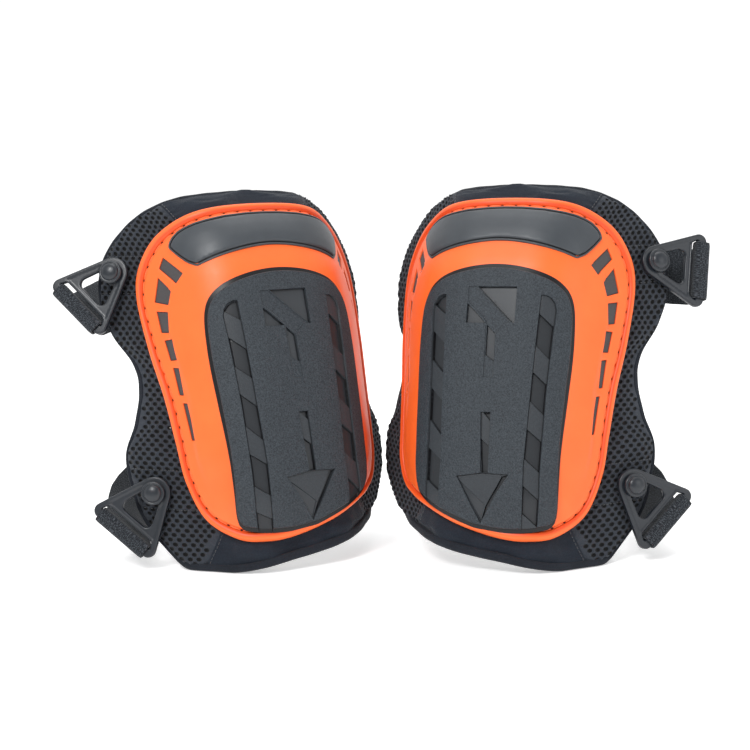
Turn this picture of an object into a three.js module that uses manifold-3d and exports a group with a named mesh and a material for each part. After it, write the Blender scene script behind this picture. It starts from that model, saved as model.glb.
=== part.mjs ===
// A pair of heavy-duty knee pads, standing on their lower hems with their fronts turned towards
// each other. Millimetres, +Z up, +X to the pair's right, the pads' fronts towards -Y.
//
// A pad is drawn on one curved surface. s runs across it from its middle line, positive towards the
// clip side, t runs up it from the foot, and h stands out of it. A pad's own frame has x towards
// the clip side, y towards the leg and z up.
import * as THREE from 'three';
import { mergeVertices } from 'three/addons/utils/BufferGeometryUtils.js';
import Module from 'manifold-3d';

const wasm = await Module();
wasm.setup();

// ---------------------------------------------------------------- driving dimensions
// Pad surface: the front line leans back more and more, and both sides turn towards the leg.
const LEAN_FOOT = 10.5; // degrees
const LEAN_RATE = 0.048; // degrees for each millimetre up
const CURL_FROM = 165; // the brow curls back above this height
const CURL_RATE = 0.0036; // degrees for each square millimetre
const TURN_FROM = 8; // the side turn begins here
const TURN_TO = 54; // and is complete here
const TURN_LOW = 47; // degrees that a side has turned, low on the pad
const TURN_HIGH = 50; // and high on it
const TURN_LOW_T = 60;
const TURN_HIGH_T = 190;

// Stance of the pair.
const YAW = 24; // degrees that each pad turns inwards
const PAD_X = 52; // half the distance between the pads' middle lines
const PAD_Y = 13; // the right pad stands this far forward and the left this far back
const MIDDLE = [-0.36, 78.68]; // of the pair, from the point midway between the pads' feet

// Outlines as [s, t]: down from the top middle, alike on both sides, then on down the clip side
// (outer) and the other side (inner, its s without its sign), to the foot's middle.
const CENTRE_T = 125; // every outline is star-shaped about (0, CENTRE_T)
const FABRIC_EDGE = {
  top: [
    [0, 256.5], [42, 251.5], [77, 237], [104, 215.5], [119, 195], [124, 172], [117.5, 150],
    [104, 130.5], [102, 114], [108, 93],
  ],
  outer: [[117, 73], [116, 52], [111, 34], [99.5, 18], [84, 4.6], [66, 3.2], [48, 4], [30, 7.2], [14, 10.5]],
  inner: [[115, 76], [113, 59], [107, 45], [97, 34.5], [84, 28], [60, 23], [33, 18.6], [14, 15]],
  foot: [0, 12.6],
};
const CAP_EDGE = {
  top: [
    [0, 239.5], [38, 235.5], [70, 219], [88.5, 197.5], [95, 175], [91.5, 141], [84.5, 109], [80, 80],
  ],
  outer: [[76, 55], [65, 32.5], [45, 21.5], [28, 20], [14, 21]],
  inner: [[77, 60], [67.5, 46.5], [53, 41], [37, 36.7], [16, 28.6]],
  foot: [0, 23.8],
};
const TREAD_EDGE = {
  top: [[0, 188], [19, 185.5], [34, 177.5], [42, 164], [43.5, 140], [42, 108], [40.5, 76]],
  outer: [[40.5, 52], [40.8, 33], [32, 28.7], [14.5, 27.8]],
  inner: [[39.5, 60], [36, 48], [25, 39], [8, 31.4]],
  foot: [0, 29.4],
};

// Heights above the fabric's face.
const FABRIC_THICK = 2.5;
const EDGE_DEPTH = 9; // thickness of the pad at its edge
const MIDDLE_DEPTH = 22; // and under the cap, down to the lining's leg side
const LINING_THICK = 2;
const GEL_THICK = 4.6;
const RIM_TOP = 4.6; // cap's top face at its edge
const SHELL_TOP = 9.4; // cap's top face next to the tread plate
const SHELL_THICK = 3;
const TREAD_TOP = 13;
const TREAD_THICK = 2.9;
const TREAD_DROP = 5; // the tread plate comes down to the rim at its foot
const TREAD_DROP_FROM = 50;
const TREAD_DROP_TO = 22;
const PATTERN_DEPTH = 1.9;
const GAP = 0.8; // between curved sheets that lie on each other
const INNER_GAP = 2; // between the layers of the padding
const BINDING_GAP = 1.3;
const BINDING_THICK = 2.8;

// Windows down the clip side of the cap: outer top, outer bottom, inner bottom, inner top.
const WINDOWS = [
  [[69, 201.5], [73.5, 193.5], [61, 183], [54.5, 190]],
  [[75, 188], [80.5, 171], [69, 169], [65.5, 178.5]],
  [[80, 165.5], [78.5, 151], [71.5, 151], [70, 165]],
  [[77, 146.5], [74.5, 133], [69.5, 133.5], [70.5, 147.5]],
  [[73.5, 129], [71.5, 111], [68.5, 111], [69.5, 129]],
  [[69.5, 106.5], [66.5, 82.5], [64, 82.5], [67, 106.5]],
];

// Seams between the fabric panels, in degrees about (0, CENTRE_T) from the clip side.
const TOP_SEAMS = [61.5, 111];
const BOTTOM_SEAMS = [-118, -60];

// Clips, studs and straps.
const STUD = { post: 4, head: 7.6, headHeight: 4.6, foot: 3.1, clearance: 1.3 };
const CLIP = { height: 5.5, thick: 4, apex: 10.5, length: 35, half: 24.5, corner: 5 };
const CLIP_HOLE = { apex: 5, to: 20.5, half: 9.5, corner: 4 };
const CLIP_SLOT = { from: 24.6, to: 29.2, half: 20.5 };
const STRAP = { width: 38, thick: 1.6 };
const LEVELS = {
  upper: { s: 110, t: 190, tabS: -106, strapT: 174 },
  lower: { s: 99, t: 48, tabS: -90, strapT: 62 },
};
// flare lifts a clip off the wing, and hang swings its bar down, both in degrees.
const STANCE = {
  left: { upper: { flare: 12, hang: 50 }, lower: { flare: 12, hang: 53 } },
  right: { upper: { flare: 8, hang: 16 }, lower: { flare: 8, hang: 50 } },
};
// The bands' way behind the leg, as [x, y] from the pad's front line, from the inner wing's tab on.
const BAND_WAY = [[-50, 112], [-18, 133], [26, 137], [58, 124], [78, 102]];
const BAND_FALL = 0.75; // share of the way down to the clip's bar that a band falls behind the leg
const TAB = { half: 8, thick: 2, shorter: 2 };

// ---------------------------------------------------------------- materials
const finish = (color, roughness) => new THREE.MeshStandardMaterial({ color, roughness, metalness: 0 });
const ORANGE = finish(0xff6a33, 0.45);
const TREAD = finish(0x3f4447, 0.75);
const SHELL_GREY = finish(0x565d63, 0.45);
const INSERT_GREY = finish(0x4a4441, 0.6);
const MESH_FABRIC = finish(0x2a2d31, 0.95);
const PLAIN_FABRIC = finish(0x1f242b, 0.9);
const LINING_FABRIC = finish(0x191b1e, 0.95);
const FOAM = finish(0xb9b4a8, 0.95);
const GEL = finish(0x3d6fa3, 0.3);
const CLIP_PLASTIC = finish(0x33373b, 0.4);
const WEBBING = finish(0x15171a, 0.9);

// ---------------------------------------------------------------- the pad's surface
const radians = THREE.MathUtils.degToRad;
const clamp01 = (x) => Math.min(1, Math.max(0, x));
const smooth = (x) => clamp01(x) ** 2 * (3 - 2 * clamp01(x));
const mix = (a, b, f) => a + (b - a) * f;
const UP = new THREE.Vector3(0, 0, 1);
const STEPS = 40; // of the midpoint rule along s and t

function front(t) {
  let y = 0;
  let z = 0;
  for (let i = 0; i < STEPS; i += 1) {
    const at = ((i + 0.5) / STEPS) * t;
    const lean = radians(LEAN_FOOT + LEAN_RATE * at + CURL_RATE * Math.max(0, at - CURL_FROM) ** 2);
    y += (Math.sin(lean) * t) / STEPS;
    z += (Math.cos(lean) * t) / STEPS;
  }
  return [y, z];
}

function across(s, t) {
  const rise = smooth((t - TURN_LOW_T) / (TURN_HIGH_T - TURN_LOW_T));
  const full = radians(mix(TURN_LOW, TURN_HIGH, rise));
  let x = 0;
  let y = 0;
  for (let i = 0; i < STEPS; i += 1) {
    const at = ((i + 0.5) / STEPS) * Math.abs(s);
    const turn = full * smooth((at - TURN_FROM) / (TURN_TO - TURN_FROM));
    x += (Math.cos(turn) * s) / STEPS;
    y += (Math.sin(turn) * Math.abs(s)) / STEPS;
  }
  return [x, y];
}

function face(s, t) {
  const [x, y] = across(s, t);
  const [lean, z] = front(t);
  return new THREE.Vector3(x, y + lean, z);
}

// Outward normal and the two directions along the surface, as unit vectors.
function tangents(s, t) {
  const d = 0.5;
  const es = face(s + d, t).sub(face(s - d, t)).normalize();
  const et = face(s, t + d).sub(face(s, t - d)).normalize();
  return { es, et, n: es.clone().cross(et).normalize() };
}

const skin = (s, t, h) => face(s, t).addScaledVector(tangents(s, t).n, h);

// ---------------------------------------------------------------- outlines
// Radius of a closed outline about (0, CENTRE_T), as a function of the angle in degrees.
function polar({ top, outer, inner, foot }) {
  const otherSide = [...top.slice(1), ...inner].reverse().map(([s, t]) => [-s, t]);
  const points = [...top, ...outer, foot, ...otherSide]
    .map(([s, t]) => new THREE.Vector3(s, t - CENTRE_T, 0));
  const curve = new THREE.CatmullRomCurve3(points, true, 'catmullrom', 0.5);
  const samples = 720;
  const ring = [];
  for (let i = 0; i < samples; i += 1) {
    const p = curve.getPoint(i / samples);
    ring.push([THREE.MathUtils.radToDeg(Math.atan2(p.y, p.x)), Math.hypot(p.x, p.y)]);
  }
  ring.sort((a, b) => a[0] - b[0]);
  ring.unshift([ring.at(-1)[0] - 360, ring.at(-1)[1]]);
  ring.push([ring[1][0] + 360, ring[1][1]]);
  return (angle) => {
    const a = THREE.MathUtils.euclideanModulo(angle + 180, 360) - 180;
    const after = ring.findIndex((r) => r[0] >= a);
    const [a0, r0] = ring[after - 1];
    const [a1, r1] = ring[after];
    return mix(r0, r1, (a - a0) / (a1 - a0));
  };
}

const fabricRadius = polar(FABRIC_EDGE);
const capRadius = polar(CAP_EDGE);
const treadRadius = polar(TREAD_EDGE);
const angleOf = (s, t) => THREE.MathUtils.radToDeg(Math.atan2(t - CENTRE_T, s));
const radiusOf = (s, t) => Math.hypot(s, t - CENTRE_T);
const atPolar = (angle, r) => [r * Math.cos(radians(angle)), CENTRE_T + r * Math.sin(radians(angle))];

// ---------------------------------------------------------------- heights of the layers
const treadTop = (s, t) => (
  TREAD_TOP - TREAD_DROP * smooth((TREAD_DROP_FROM - t) / (TREAD_DROP_FROM - TREAD_DROP_TO))
);

function capTop(s, t) {
  const a = angleOf(s, t);
  const edge = capRadius(a);
  const g = clamp01((edge - radiusOf(s, t)) / (edge - treadRadius(a)));
  const crown = RIM_TOP + (SHELL_TOP - RIM_TOP) * Math.sin((g * Math.PI) / 2);
  return Math.min(crown, treadTop(s, t) - TREAD_THICK - GAP);
}

const capUnder = (s, t) => capTop(s, t) - SHELL_THICK;

function liningBack(s, t) {
  const a = angleOf(s, t);
  const edge = fabricRadius(a);
  const f = (edge - radiusOf(s, t)) / (edge - capRadius(a));
  return -mix(EDGE_DEPTH, MIDDLE_DEPTH, smooth(f));
}

// ---------------------------------------------------------------- solids
// A closed solid between two heights over a patch of the surface. at(u, v) gives [s, t]. A patch
// that goes around has u closed on itself, and one with a hub has its first row at one point.
function slab({ cols, rows, at, low, high, around = false, hub = false }) {
  const width = around ? cols : cols + 1;
  const positions = [];
  const index = [];
  const layers = [low, high].map((height) => {
    const ids = [];
    for (let j = 0; j <= rows; j += 1) {
      const row = [];
      for (let i = 0; i < width; i += 1) {
        if (hub && j === 0 && i > 0) {
          row.push(row[0]);
        } else {
          const [s, t] = at(i / cols, j / rows);
          const p = skin(s, t, typeof height === 'function' ? height(s, t) : height);
          row.push(positions.length / 3);
          positions.push(p.x, p.y, Math.max(0, p.z));
        }
      }
      ids.push(row);
    }
    return ids;
  });
  const quad = (a, b, c, d) => {
    if (a !== b && b !== c && a !== c) index.push(a, b, c);
    if (a !== c && c !== d && a !== d) index.push(a, c, d);
  };
  const [under, over] = layers;
  for (let i = 0; i < cols; i += 1) {
    const k = (i + 1) % width;
    for (let j = 0; j < rows; j += 1) {
      quad(over[j][i], over[j][k], over[j + 1][k], over[j + 1][i]);
      quad(under[j][i], under[j + 1][i], under[j + 1][k], under[j][k]);
    }
    quad(over[rows][i], over[rows][k], under[rows][k], under[rows][i]);
    if (!hub) quad(over[0][k], over[0][i], under[0][i], under[0][k]);
  }
  if (!around) {
    for (let j = 0; j < rows; j += 1) {
      quad(over[j + 1][cols], over[j][cols], under[j][cols], under[j + 1][cols]);
      quad(over[j][0], over[j + 1][0], under[j + 1][0], under[j][0]);
    }
  }
  const geometry = new THREE.BufferGeometry();
  geometry.setAttribute('position', new THREE.Float32BufferAttribute(positions, 3));
  geometry.setIndex(index);
  return outward(geometry);
}

// Turns a closed geometry's faces outwards.
function outward(geometry) {
  const p = geometry.attributes.position;
  const ids = geometry.index.array;
  const [a, b, c] = [new THREE.Vector3(), new THREE.Vector3(), new THREE.Vector3()];
  let volume = 0;
  for (let i = 0; i < ids.length; i += 3) {
    a.fromBufferAttribute(p, ids[i]);
    b.fromBufferAttribute(p, ids[i + 1]);
    c.fromBufferAttribute(p, ids[i + 2]);
    volume += a.dot(b.cross(c));
  }
  return volume < 0 ? flipped(geometry) : geometry;
}

function flipped(geometry) {
  const ids = Array.from(geometry.index.array);
  for (let i = 0; i < ids.length; i += 3) [ids[i + 1], ids[i + 2]] = [ids[i + 2], ids[i + 1]];
  geometry.setIndex(ids);
  return geometry;
}

function welded(geometry) {
  const bare = geometry.clone();
  bare.deleteAttribute('normal');
  bare.deleteAttribute('uv');
  return mergeVertices(bare, 1e-4);
}

function solid(geometry) {
  const bare = welded(geometry);
  return new wasm.Manifold(new wasm.Mesh({
    numProp: 3,
    vertProperties: new Float32Array(bare.attributes.position.array),
    triVerts: new Uint32Array(bare.index.array),
  }));
}

function fromSolid(manifold) {
  const mesh = manifold.getMesh();
  const geometry = new THREE.BufferGeometry();
  geometry.setAttribute('position', new THREE.Float32BufferAttribute(mesh.vertProperties, 3));
  geometry.setIndex(Array.from(mesh.triVerts));
  return geometry;
}

function cut(body, tools) {
  return fromSolid(tools.reduce((left, tool) => left.subtract(solid(tool)), solid(body)));
}

const join = (parts) => fromSolid(parts.map(solid).reduce((a, b) => a.add(b)));

// A disc, or a ring if it has an inner edge. Bands of rows run out from edge to edge: each edge is
// a radius as a function of the angle, so sheets that share their edges lie on each other evenly.
function ringSlab({ cols, inner, bands, low, high }) {
  const rows = bands.reduce((sum, band) => sum + band.rows, 0);
  const at = (u, v) => {
    const a = 360 * u;
    let row = Math.round(v * rows);
    let from = inner ? inner(a) : 0;
    for (const band of bands) {
      if (row <= band.rows) return atPolar(a, mix(from, band.to(a), row / band.rows));
      row -= band.rows;
      from = band.to(a);
    }
    return null;
  };
  return slab({ cols, rows, at, low, high, around: true, hub: !inner });
}

function sectorSlab({ from, to, cols, inner, outer, low, high }) {
  const at = (u, v) => {
    const a = mix(from, to, u);
    return atPolar(a, mix(inner(a), outer(a), v));
  };
  return slab({ cols, rows: 2, at, low, high });
}

// A slab over a four-sided patch, its corners in order as [s, t].
function quadSlab([a, b, c, d], cols, rows, low, high) {
  const at = (u, v) => [0, 1].map((k) => mix(mix(a[k], d[k], u), mix(b[k], c[k], u), v));
  return slab({ cols, rows, at, low, high });
}

// ---------------------------------------------------------------- cap, plates and inserts
const COLS = 36; // round the pad
const TREAD_ROWS = 3;

const grown = (quad, by) => {
  const middle = [0, 1].map((k) => quad.reduce((sum, p) => sum + p[k] / 4, 0));
  return quad.map((p) => {
    const d = [p[0] - middle[0], p[1] - middle[1]];
    const length = Math.hypot(...d);
    return [p[0] + (d[0] / length) * by, p[1] + (d[1] / length) * by];
  });
};
const mirroredQuad = (quad) => quad.map(([s, t]) => [-s, t]);

function cap() {
  const bands = [{ to: treadRadius, rows: TREAD_ROWS }, { to: capRadius, rows: 3 }];
  const shell = ringSlab({ cols: COLS, bands, low: capUnder, high: capTop });
  const windows = [...WINDOWS, ...WINDOWS.map(mirroredQuad)];
  return cut(shell, windows.map((quad) => quadSlab(quad, 1, 1, -2, 16)));
}

const STRIP_THICK = 1.2;
const BROW_THICK = 1.6;

// The strip behind one side's windows, with a raised pad in each window.
function insert(sign) {
  const windows = sign > 0 ? WINDOWS : WINDOWS.map(mirroredQuad);
  const stations = windows.flatMap(([outTop, outFoot, inFoot, inTop]) => (
    [[outTop, inTop], [outFoot, inFoot]]
  ));
  const under = (s, t) => capUnder(s, t) - GAP;
  const margin = 1.5;
  const at = (u, v) => {
    const [a, b] = stations[Math.round(v * (stations.length - 1))];
    const width = Math.hypot(a[0] - b[0], a[1] - b[1]);
    const f = mix(-margin / width, 1 + margin / width, u);
    return [mix(a[0], b[0], f), mix(a[1], b[1], f)];
  };
  const low = (s, t) => under(s, t) - STRIP_THICK;
  const strip = slab({ cols: 1, rows: stations.length - 1, at, low, high: under });
  const pads = windows.map((quad) => quadSlab(
    grown(quad, -GAP), 1, 1, (s, t) => under(s, t) - STRIP_THICK / 2, (s, t) => capTop(s, t) - 0.5,
  ));
  return join([strip, ...pads]);
}

function browPlate() {
  const lowerHalf = 45.4;
  const upperHalf = 62;
  const lower = (s) => 206.2 - 12.4 * (s / lowerHalf) ** 2;
  const upper = (s) => 229.5 - 9 * (s / 48) ** 2 - 6 * (s / upperHalf) ** 8;
  const at = (u, v) => {
    const k = 2 * u - 1;
    return [mix(lowerHalf, upperHalf, v) * k, mix(lower(lowerHalf * k), upper(upperHalf * k), v)];
  };
  const low = (s, t) => capTop(s, t) + GAP;
  return slab({ cols: 10, rows: 2, at, low, high: (s, t) => low(s, t) + BROW_THICK });
}

function treadPlate() {
  const bands = [{ to: treadRadius, rows: TREAD_ROWS }];
  const low = (s, t) => treadTop(s, t) - TREAD_THICK;
  const plate = ringSlab({ cols: COLS, bands, low, high: treadTop });
  const floor = (s, t) => treadTop(s, t) - PATTERN_DEPTH;
  const above = (s, t) => treadTop(s, t) + 3;
  const channel = [[26.2, 171], [23, 15], [31, 15], [34.4, 165]];
  const box = [[-15, 176], [-15, 153], [15, 153], [15, 176]];
  const half = 3.1;
  const stems = [[155, 119], [98, 57]].map(([top, foot]) => (
    [[-half, top], [-half, foot], [half, foot], [half, top]]
  ));
  const arrow = [[-15.5, 59.5], [-0.4, 30.5], [0.4, 30.5], [15.5, 59.5]];
  return cut(plate, [
    quadSlab(channel, 1, 5, floor, above),
    quadSlab(mirroredQuad(channel), 1, 5, floor, above),
    quadSlab(box, 3, 2, floor, above),
    ...stems.map((stem) => quadSlab(stem, 1, 3, floor, above)),
    quadSlab(arrow, 3, 3, floor, above),
  ]);
}

// ---------------------------------------------------------------- fabric, foam and lining
const RIM_OVERLAP = 7; // of the cap over the fabric panels
const SEAM = 0.3; // half the gap at a seam, in degrees
const underRim = (a) => capRadius(a) - RIM_OVERLAP;

function panel(from, to, cols) {
  const ends = { from: from + SEAM, to: to - SEAM };
  return sectorSlab({ ...ends, cols, inner: underRim, outer: fabricRadius, low: -FABRIC_THICK, high: 0 });
}

const foamEdge = (a) => capRadius(a) - 8.5;
const wingFoamFrom = (a) => capRadius(a) - 4;
const wingFoamTo = (a) => fabricRadius(a) - 4;
const gelFront = -(MIDDLE_DEPTH - LINING_THICK - INNER_GAP - GEL_THICK);

const foamCore = () => ringSlab({
  cols: COLS,
  bands: [{ to: foamEdge, rows: 3 }],
  low: gelFront + INNER_GAP,
  high: (s, t) => capUnder(s, t) - INNER_GAP,
});

const gelPad = () => ringSlab({
  cols: 20,
  bands: [{ to: (a) => 0.6 * capRadius(a), rows: 2 }],
  low: gelFront - GEL_THICK,
  high: gelFront,
});

const wingFoam = () => ringSlab({
  cols: COLS,
  inner: wingFoamFrom,
  bands: [{ to: wingFoamTo, rows: 2 }],
  low: (s, t) => liningBack(s, t) + LINING_THICK + GAP,
  high: -(FABRIC_THICK + GAP),
});

const lining = () => ringSlab({
  cols: COLS,
  bands: [
    { to: wingFoamFrom, rows: 3 },
    { to: wingFoamTo, rows: 2 },
    { to: (a) => fabricRadius(a) - 0.8, rows: 1 },
  ],
  low: liningBack,
  high: (s, t) => liningBack(s, t) + LINING_THICK,
});

const edgeBinding = () => ringSlab({
  cols: 60,
  inner: (a) => fabricRadius(a) + BINDING_GAP,
  bands: [{ to: (a) => fabricRadius(a) + BINDING_GAP + BINDING_THICK, rows: 1 }],
  low: -(EDGE_DEPTH + 1),
  high: 0.6,
});

// ---------------------------------------------------------------- studs, clips and straps
// Frame of one clip: o on the fabric under the stud, z along the stud, x towards the strap's bar.
function clipFrame(side, level) {
  const { s, t } = LEVELS[level];
  const { flare, hang } = STANCE[side][level];
  const { es, et, n } = tangents(s, t);
  const z = n.clone().applyAxisAngle(et, -radians(flare));
  const out = es.clone().applyAxisAngle(et, -radians(flare));
  const x = out.clone().applyAxisAngle(z, -radians(hang));
  const y = z.clone().cross(x);
  const o = face(s, t);
  return { o, x, y, z, matrix: new THREE.Matrix4().makeBasis(x, y, z).setPosition(o) };
}

function stud() {
  const { post, head, headHeight, foot, clearance } = STUD;
  const under = CLIP.height + CLIP.thick / 2 + clearance;
  const profile = [[0, foot], [post, foot], [post, under], [head, under], [head, under + 1.2]];
  for (let i = 1; i <= 3; i += 1) {
    const a = (i / 3) * (Math.PI / 2);
    profile.push([i === 3 ? 0 : head * Math.cos(a), under + 1.2 + (headHeight - 1.2) * Math.sin(a)]);
  }
  const points = profile.map(([r, z]) => new THREE.Vector2(r, z));
  return welded(new THREE.LatheGeometry(points, 12).rotateX(Math.PI / 2));
}

function washer() {
  return welded(new THREE.CylinderGeometry(6.6, 7, 0.8, 12).rotateX(Math.PI / 2).translate(0, 0, 0.8));
}

function clip() {
  const { thick, apex, length, half, corner, height } = CLIP;
  const shape = new THREE.Shape();
  const lean = Math.atan2(half - apex, length - corner);
  shape.absarc(0, 0, apex, Math.PI / 2 + lean, 1.5 * Math.PI - lean, false);
  shape.absarc(length - corner, -(half - corner), corner, 1.5 * Math.PI - lean, 2 * Math.PI, false);
  shape.absarc(length - corner, half - corner, corner, 0, Math.PI / 2 + lean, false);
  const hole = new THREE.Path();
  hole.absarc(0, 0, CLIP_HOLE.apex, Math.PI / 2 + lean, 1.5 * Math.PI - lean, false);
  const round = [CLIP_HOLE.to - CLIP_HOLE.corner, CLIP_HOLE.half - CLIP_HOLE.corner / 2, CLIP_HOLE.corner];
  hole.absarc(round[0], -round[1], round[2], 1.5 * Math.PI - lean, 2 * Math.PI, false);
  hole.absarc(...round, 0, Math.PI / 2 + lean, false);
  const slot = new THREE.Path();
  slot.moveTo(CLIP_SLOT.from, -CLIP_SLOT.half + 2.5);
  slot.lineTo(CLIP_SLOT.to, -CLIP_SLOT.half);
  slot.lineTo(CLIP_SLOT.to, CLIP_SLOT.half);
  slot.lineTo(CLIP_SLOT.from, CLIP_SLOT.half - 2.5);
  shape.holes.push(hole, slot);
  const options = { depth: thick, bevelEnabled: false, curveSegments: 5 };
  return welded(new THREE.ExtrudeGeometry(shape, options).translate(0, 0, height - thick / 2));
}

// A flat ring of strap round the clip's bar.
function strapLoop() {
  const inside = { from: CLIP_SLOT.to - 0.6, to: CLIP.length + 0.6, z: CLIP.thick / 2 + 0.6 };
  const rect = (path, by) => {
    path.moveTo(inside.from - by, -inside.z - by);
    path.lineTo(inside.to + by, -inside.z - by);
    path.lineTo(inside.to + by, inside.z + by);
    path.lineTo(inside.from - by, inside.z + by);
    path.closePath();
    return path;
  };
  const shape = rect(new THREE.Shape(), STRAP.thick);
  shape.holes.push(rect(new THREE.Path(), 0));
  const ring = new THREE.ExtrudeGeometry(shape, { depth: STRAP.width, bevelEnabled: false });
  ring.translate(0, 0, -STRAP.width / 2).rotateX(Math.PI / 2).translate(0, 0, CLIP.height);
  return welded(ring);
}

// A band of constant width and thickness along stations { p, w }: the middle and the width's way.
function ribbon(stations, width, thick) {
  const positions = [];
  const index = [];
  stations.forEach(({ p, w }, i) => {
    const before = stations[Math.max(0, i - 1)].p;
    const after = stations[Math.min(stations.length - 1, i + 1)].p;
    const along = after.clone().sub(before).normalize();
    const n = along.cross(w).normalize();
    for (const [a, b] of [[-0.5, -0.5], [0.5, -0.5], [0.5, 0.5], [-0.5, 0.5]]) {
      const q = p.clone().addScaledVector(w, a * width).addScaledVector(n, b * thick);
      positions.push(q.x, q.y, q.z);
    }
  });
  const last = 4 * (stations.length - 1);
  index.push(0, 1, 2, 0, 2, 3, last, last + 2, last + 1, last, last + 3, last + 2);
  for (let i = 0; i < last; i += 4) {
    for (let k = 0; k < 4; k += 1) {
      const m = (k + 1) % 4;
      index.push(i + k, i + 4 + k, i + 4 + m, i + k, i + 4 + m, i + m);
    }
  }
  const geometry = new THREE.BufferGeometry();
  geometry.setAttribute('position', new THREE.Float32BufferAttribute(positions, 3));
  geometry.setIndex(index);
  return outward(geometry);
}

// The elastic band: from the inner wing's tab, round behind the leg, to just under the clip's loop.
function strapBand(frame, level) {
  const { tabS, strapT } = LEVELS[level];
  const [lean, z] = front(strapT);
  const tabFace = liningBack(tabS, strapT) - INNER_GAP - TAB.thick;
  const alongTab = tangents(tabS, strapT).et;
  const under = CLIP.height - CLIP.thick / 2 - 0.6 - STRAP.thick - 0.7;
  const onClip = (x, up) => frame.o.clone().addScaledVector(frame.x, x).addScaledVector(frame.z, up);
  const end = onClip(CLIP.length, under);
  const points = [
    skin(tabS, strapT, tabFace - 2.4),
    skin(tabS, strapT, tabFace - 10),
    ...BAND_WAY.map(([x, y], i) => (
      new THREE.Vector3(x, lean + y, mix(z, end.z, (BAND_FALL * i) / (BAND_WAY.length - 1)))
    )),
    onClip(CLIP.length - 1, under - 9),
    end,
  ];
  const curve = new THREE.CatmullRomCurve3(points, false, 'centripetal');
  const count = 14;
  const stations = [];
  for (let i = 0; i <= count; i += 1) {
    const u = i / count;
    const upright = alongTab.clone().lerp(UP, smooth(u / 0.3));
    const w = upright.lerp(frame.y, smooth((u - 0.45) / 0.5)).normalize();
    stations.push({ p: curve.getPointAt(u), w });
  }
  return ribbon(stations, STRAP.width, STRAP.thick);
}

// The sewn tab on the leg side of the inner wing's lining, which the band starts from.
function strapAnchor(level) {
  const { tabS, strapT } = LEVELS[level];
  const half = STRAP.width / 2 - TAB.shorter;
  const [s0, s1] = [tabS - TAB.half, tabS + TAB.half];
  const quad = [[s0, strapT + half], [s0, strapT - half], [s1, strapT - half], [s1, strapT + half]];
  const high = (s, t) => liningBack(s, t) - INNER_GAP;
  return quadSlab(quad, 2, 2, (s, t) => high(s, t) - TAB.thick, high);
}

// ---------------------------------------------------------------- assembly
function pad(side) {
  const mirror = side === 'left';
  const sign = mirror ? -1 : 1;
  const group = new THREE.Group();
  group.rotation.z = radians(-sign * YAW);
  group.position.set(sign * PAD_X - MIDDLE[0], -sign * PAD_Y - MIDDLE[1], 0);
  const add = (name, geometry, material) => {
    if (mirror) flipped(geometry.scale(-1, 1, 1));
    const mesh = new THREE.Mesh(geometry, material);
    mesh.name = `${side}_${name}`;
    group.add(mesh);
  };
  add('cap', cap(), ORANGE);
  add('tread_plate', treadPlate(), TREAD);
  add('brow_plate', browPlate(), SHELL_GREY);
  add('outer_insert', insert(1), INSERT_GREY);
  add('inner_insert', insert(-1), INSERT_GREY);
  add('top_panel', panel(...TOP_SEAMS, 9), PLAIN_FABRIC);
  add('bottom_panel', panel(...BOTTOM_SEAMS, 10), PLAIN_FABRIC);
  add('outer_wing', panel(BOTTOM_SEAMS[1], TOP_SEAMS[0], 20), MESH_FABRIC);
  add('inner_wing', panel(TOP_SEAMS[1], BOTTOM_SEAMS[0] + 360, 22), MESH_FABRIC);
  add('foam_core', foamCore(), FOAM);
  add('gel_pad', gelPad(), GEL);
  add('wing_foam', wingFoam(), FOAM);
  add('lining', lining(), LINING_FABRIC);
  add('edge_binding', edgeBinding(), PLAIN_FABRIC);
  for (const level of Object.keys(LEVELS)) {
    const frame = clipFrame(side, level);
    const { s, t } = LEVELS[level];
    const { es, et, n } = tangents(s, t);
    const onWing = new THREE.Matrix4().makeBasis(es, et, n).setPosition(frame.o);
    add(`${level}_stud_washer`, washer().applyMatrix4(onWing), CLIP_PLASTIC);
    add(`${level}_stud`, stud().applyMatrix4(frame.matrix), CLIP_PLASTIC);
    add(`${level}_clip`, clip().applyMatrix4(frame.matrix), CLIP_PLASTIC);
    add(`${level}_strap_loop`, strapLoop().applyMatrix4(frame.matrix), WEBBING);
    add(`${level}_strap`, strapBand(frame, level), WEBBING);
    add(`${level}_strap_anchor`, strapAnchor(level), WEBBING);
  }
  return group;
}

const pair = new THREE.Group();
pair.add(pad('left'), pad('right'));

export default pair;
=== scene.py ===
import math

import bpy
import numpy as np
from mathutils import Matrix, Vector
from mathutils.geometry import delaunay_2d_cdt


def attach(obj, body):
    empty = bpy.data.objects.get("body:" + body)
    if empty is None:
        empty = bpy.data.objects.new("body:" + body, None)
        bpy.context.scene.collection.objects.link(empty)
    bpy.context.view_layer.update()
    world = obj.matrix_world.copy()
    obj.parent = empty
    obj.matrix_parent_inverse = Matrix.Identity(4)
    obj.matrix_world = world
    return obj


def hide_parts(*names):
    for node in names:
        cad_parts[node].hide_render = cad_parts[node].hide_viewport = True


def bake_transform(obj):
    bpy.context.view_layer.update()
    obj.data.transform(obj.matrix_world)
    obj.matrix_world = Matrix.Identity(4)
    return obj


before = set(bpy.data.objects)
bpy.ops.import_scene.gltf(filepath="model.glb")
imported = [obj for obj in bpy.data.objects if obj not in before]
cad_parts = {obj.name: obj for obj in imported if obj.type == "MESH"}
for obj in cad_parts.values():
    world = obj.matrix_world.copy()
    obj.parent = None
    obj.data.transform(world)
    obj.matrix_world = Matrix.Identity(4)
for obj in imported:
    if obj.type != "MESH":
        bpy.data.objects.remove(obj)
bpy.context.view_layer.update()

# A pair of knee pads. Sizes are in millimetres until to_world() turns them into metres. A pad is
# drawn on one curved face: s runs across it, positive towards the clips, t runs up it from the
# foot and h stands out of it. A pad's own frame has x towards the clips, y towards the leg, z up.

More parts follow.
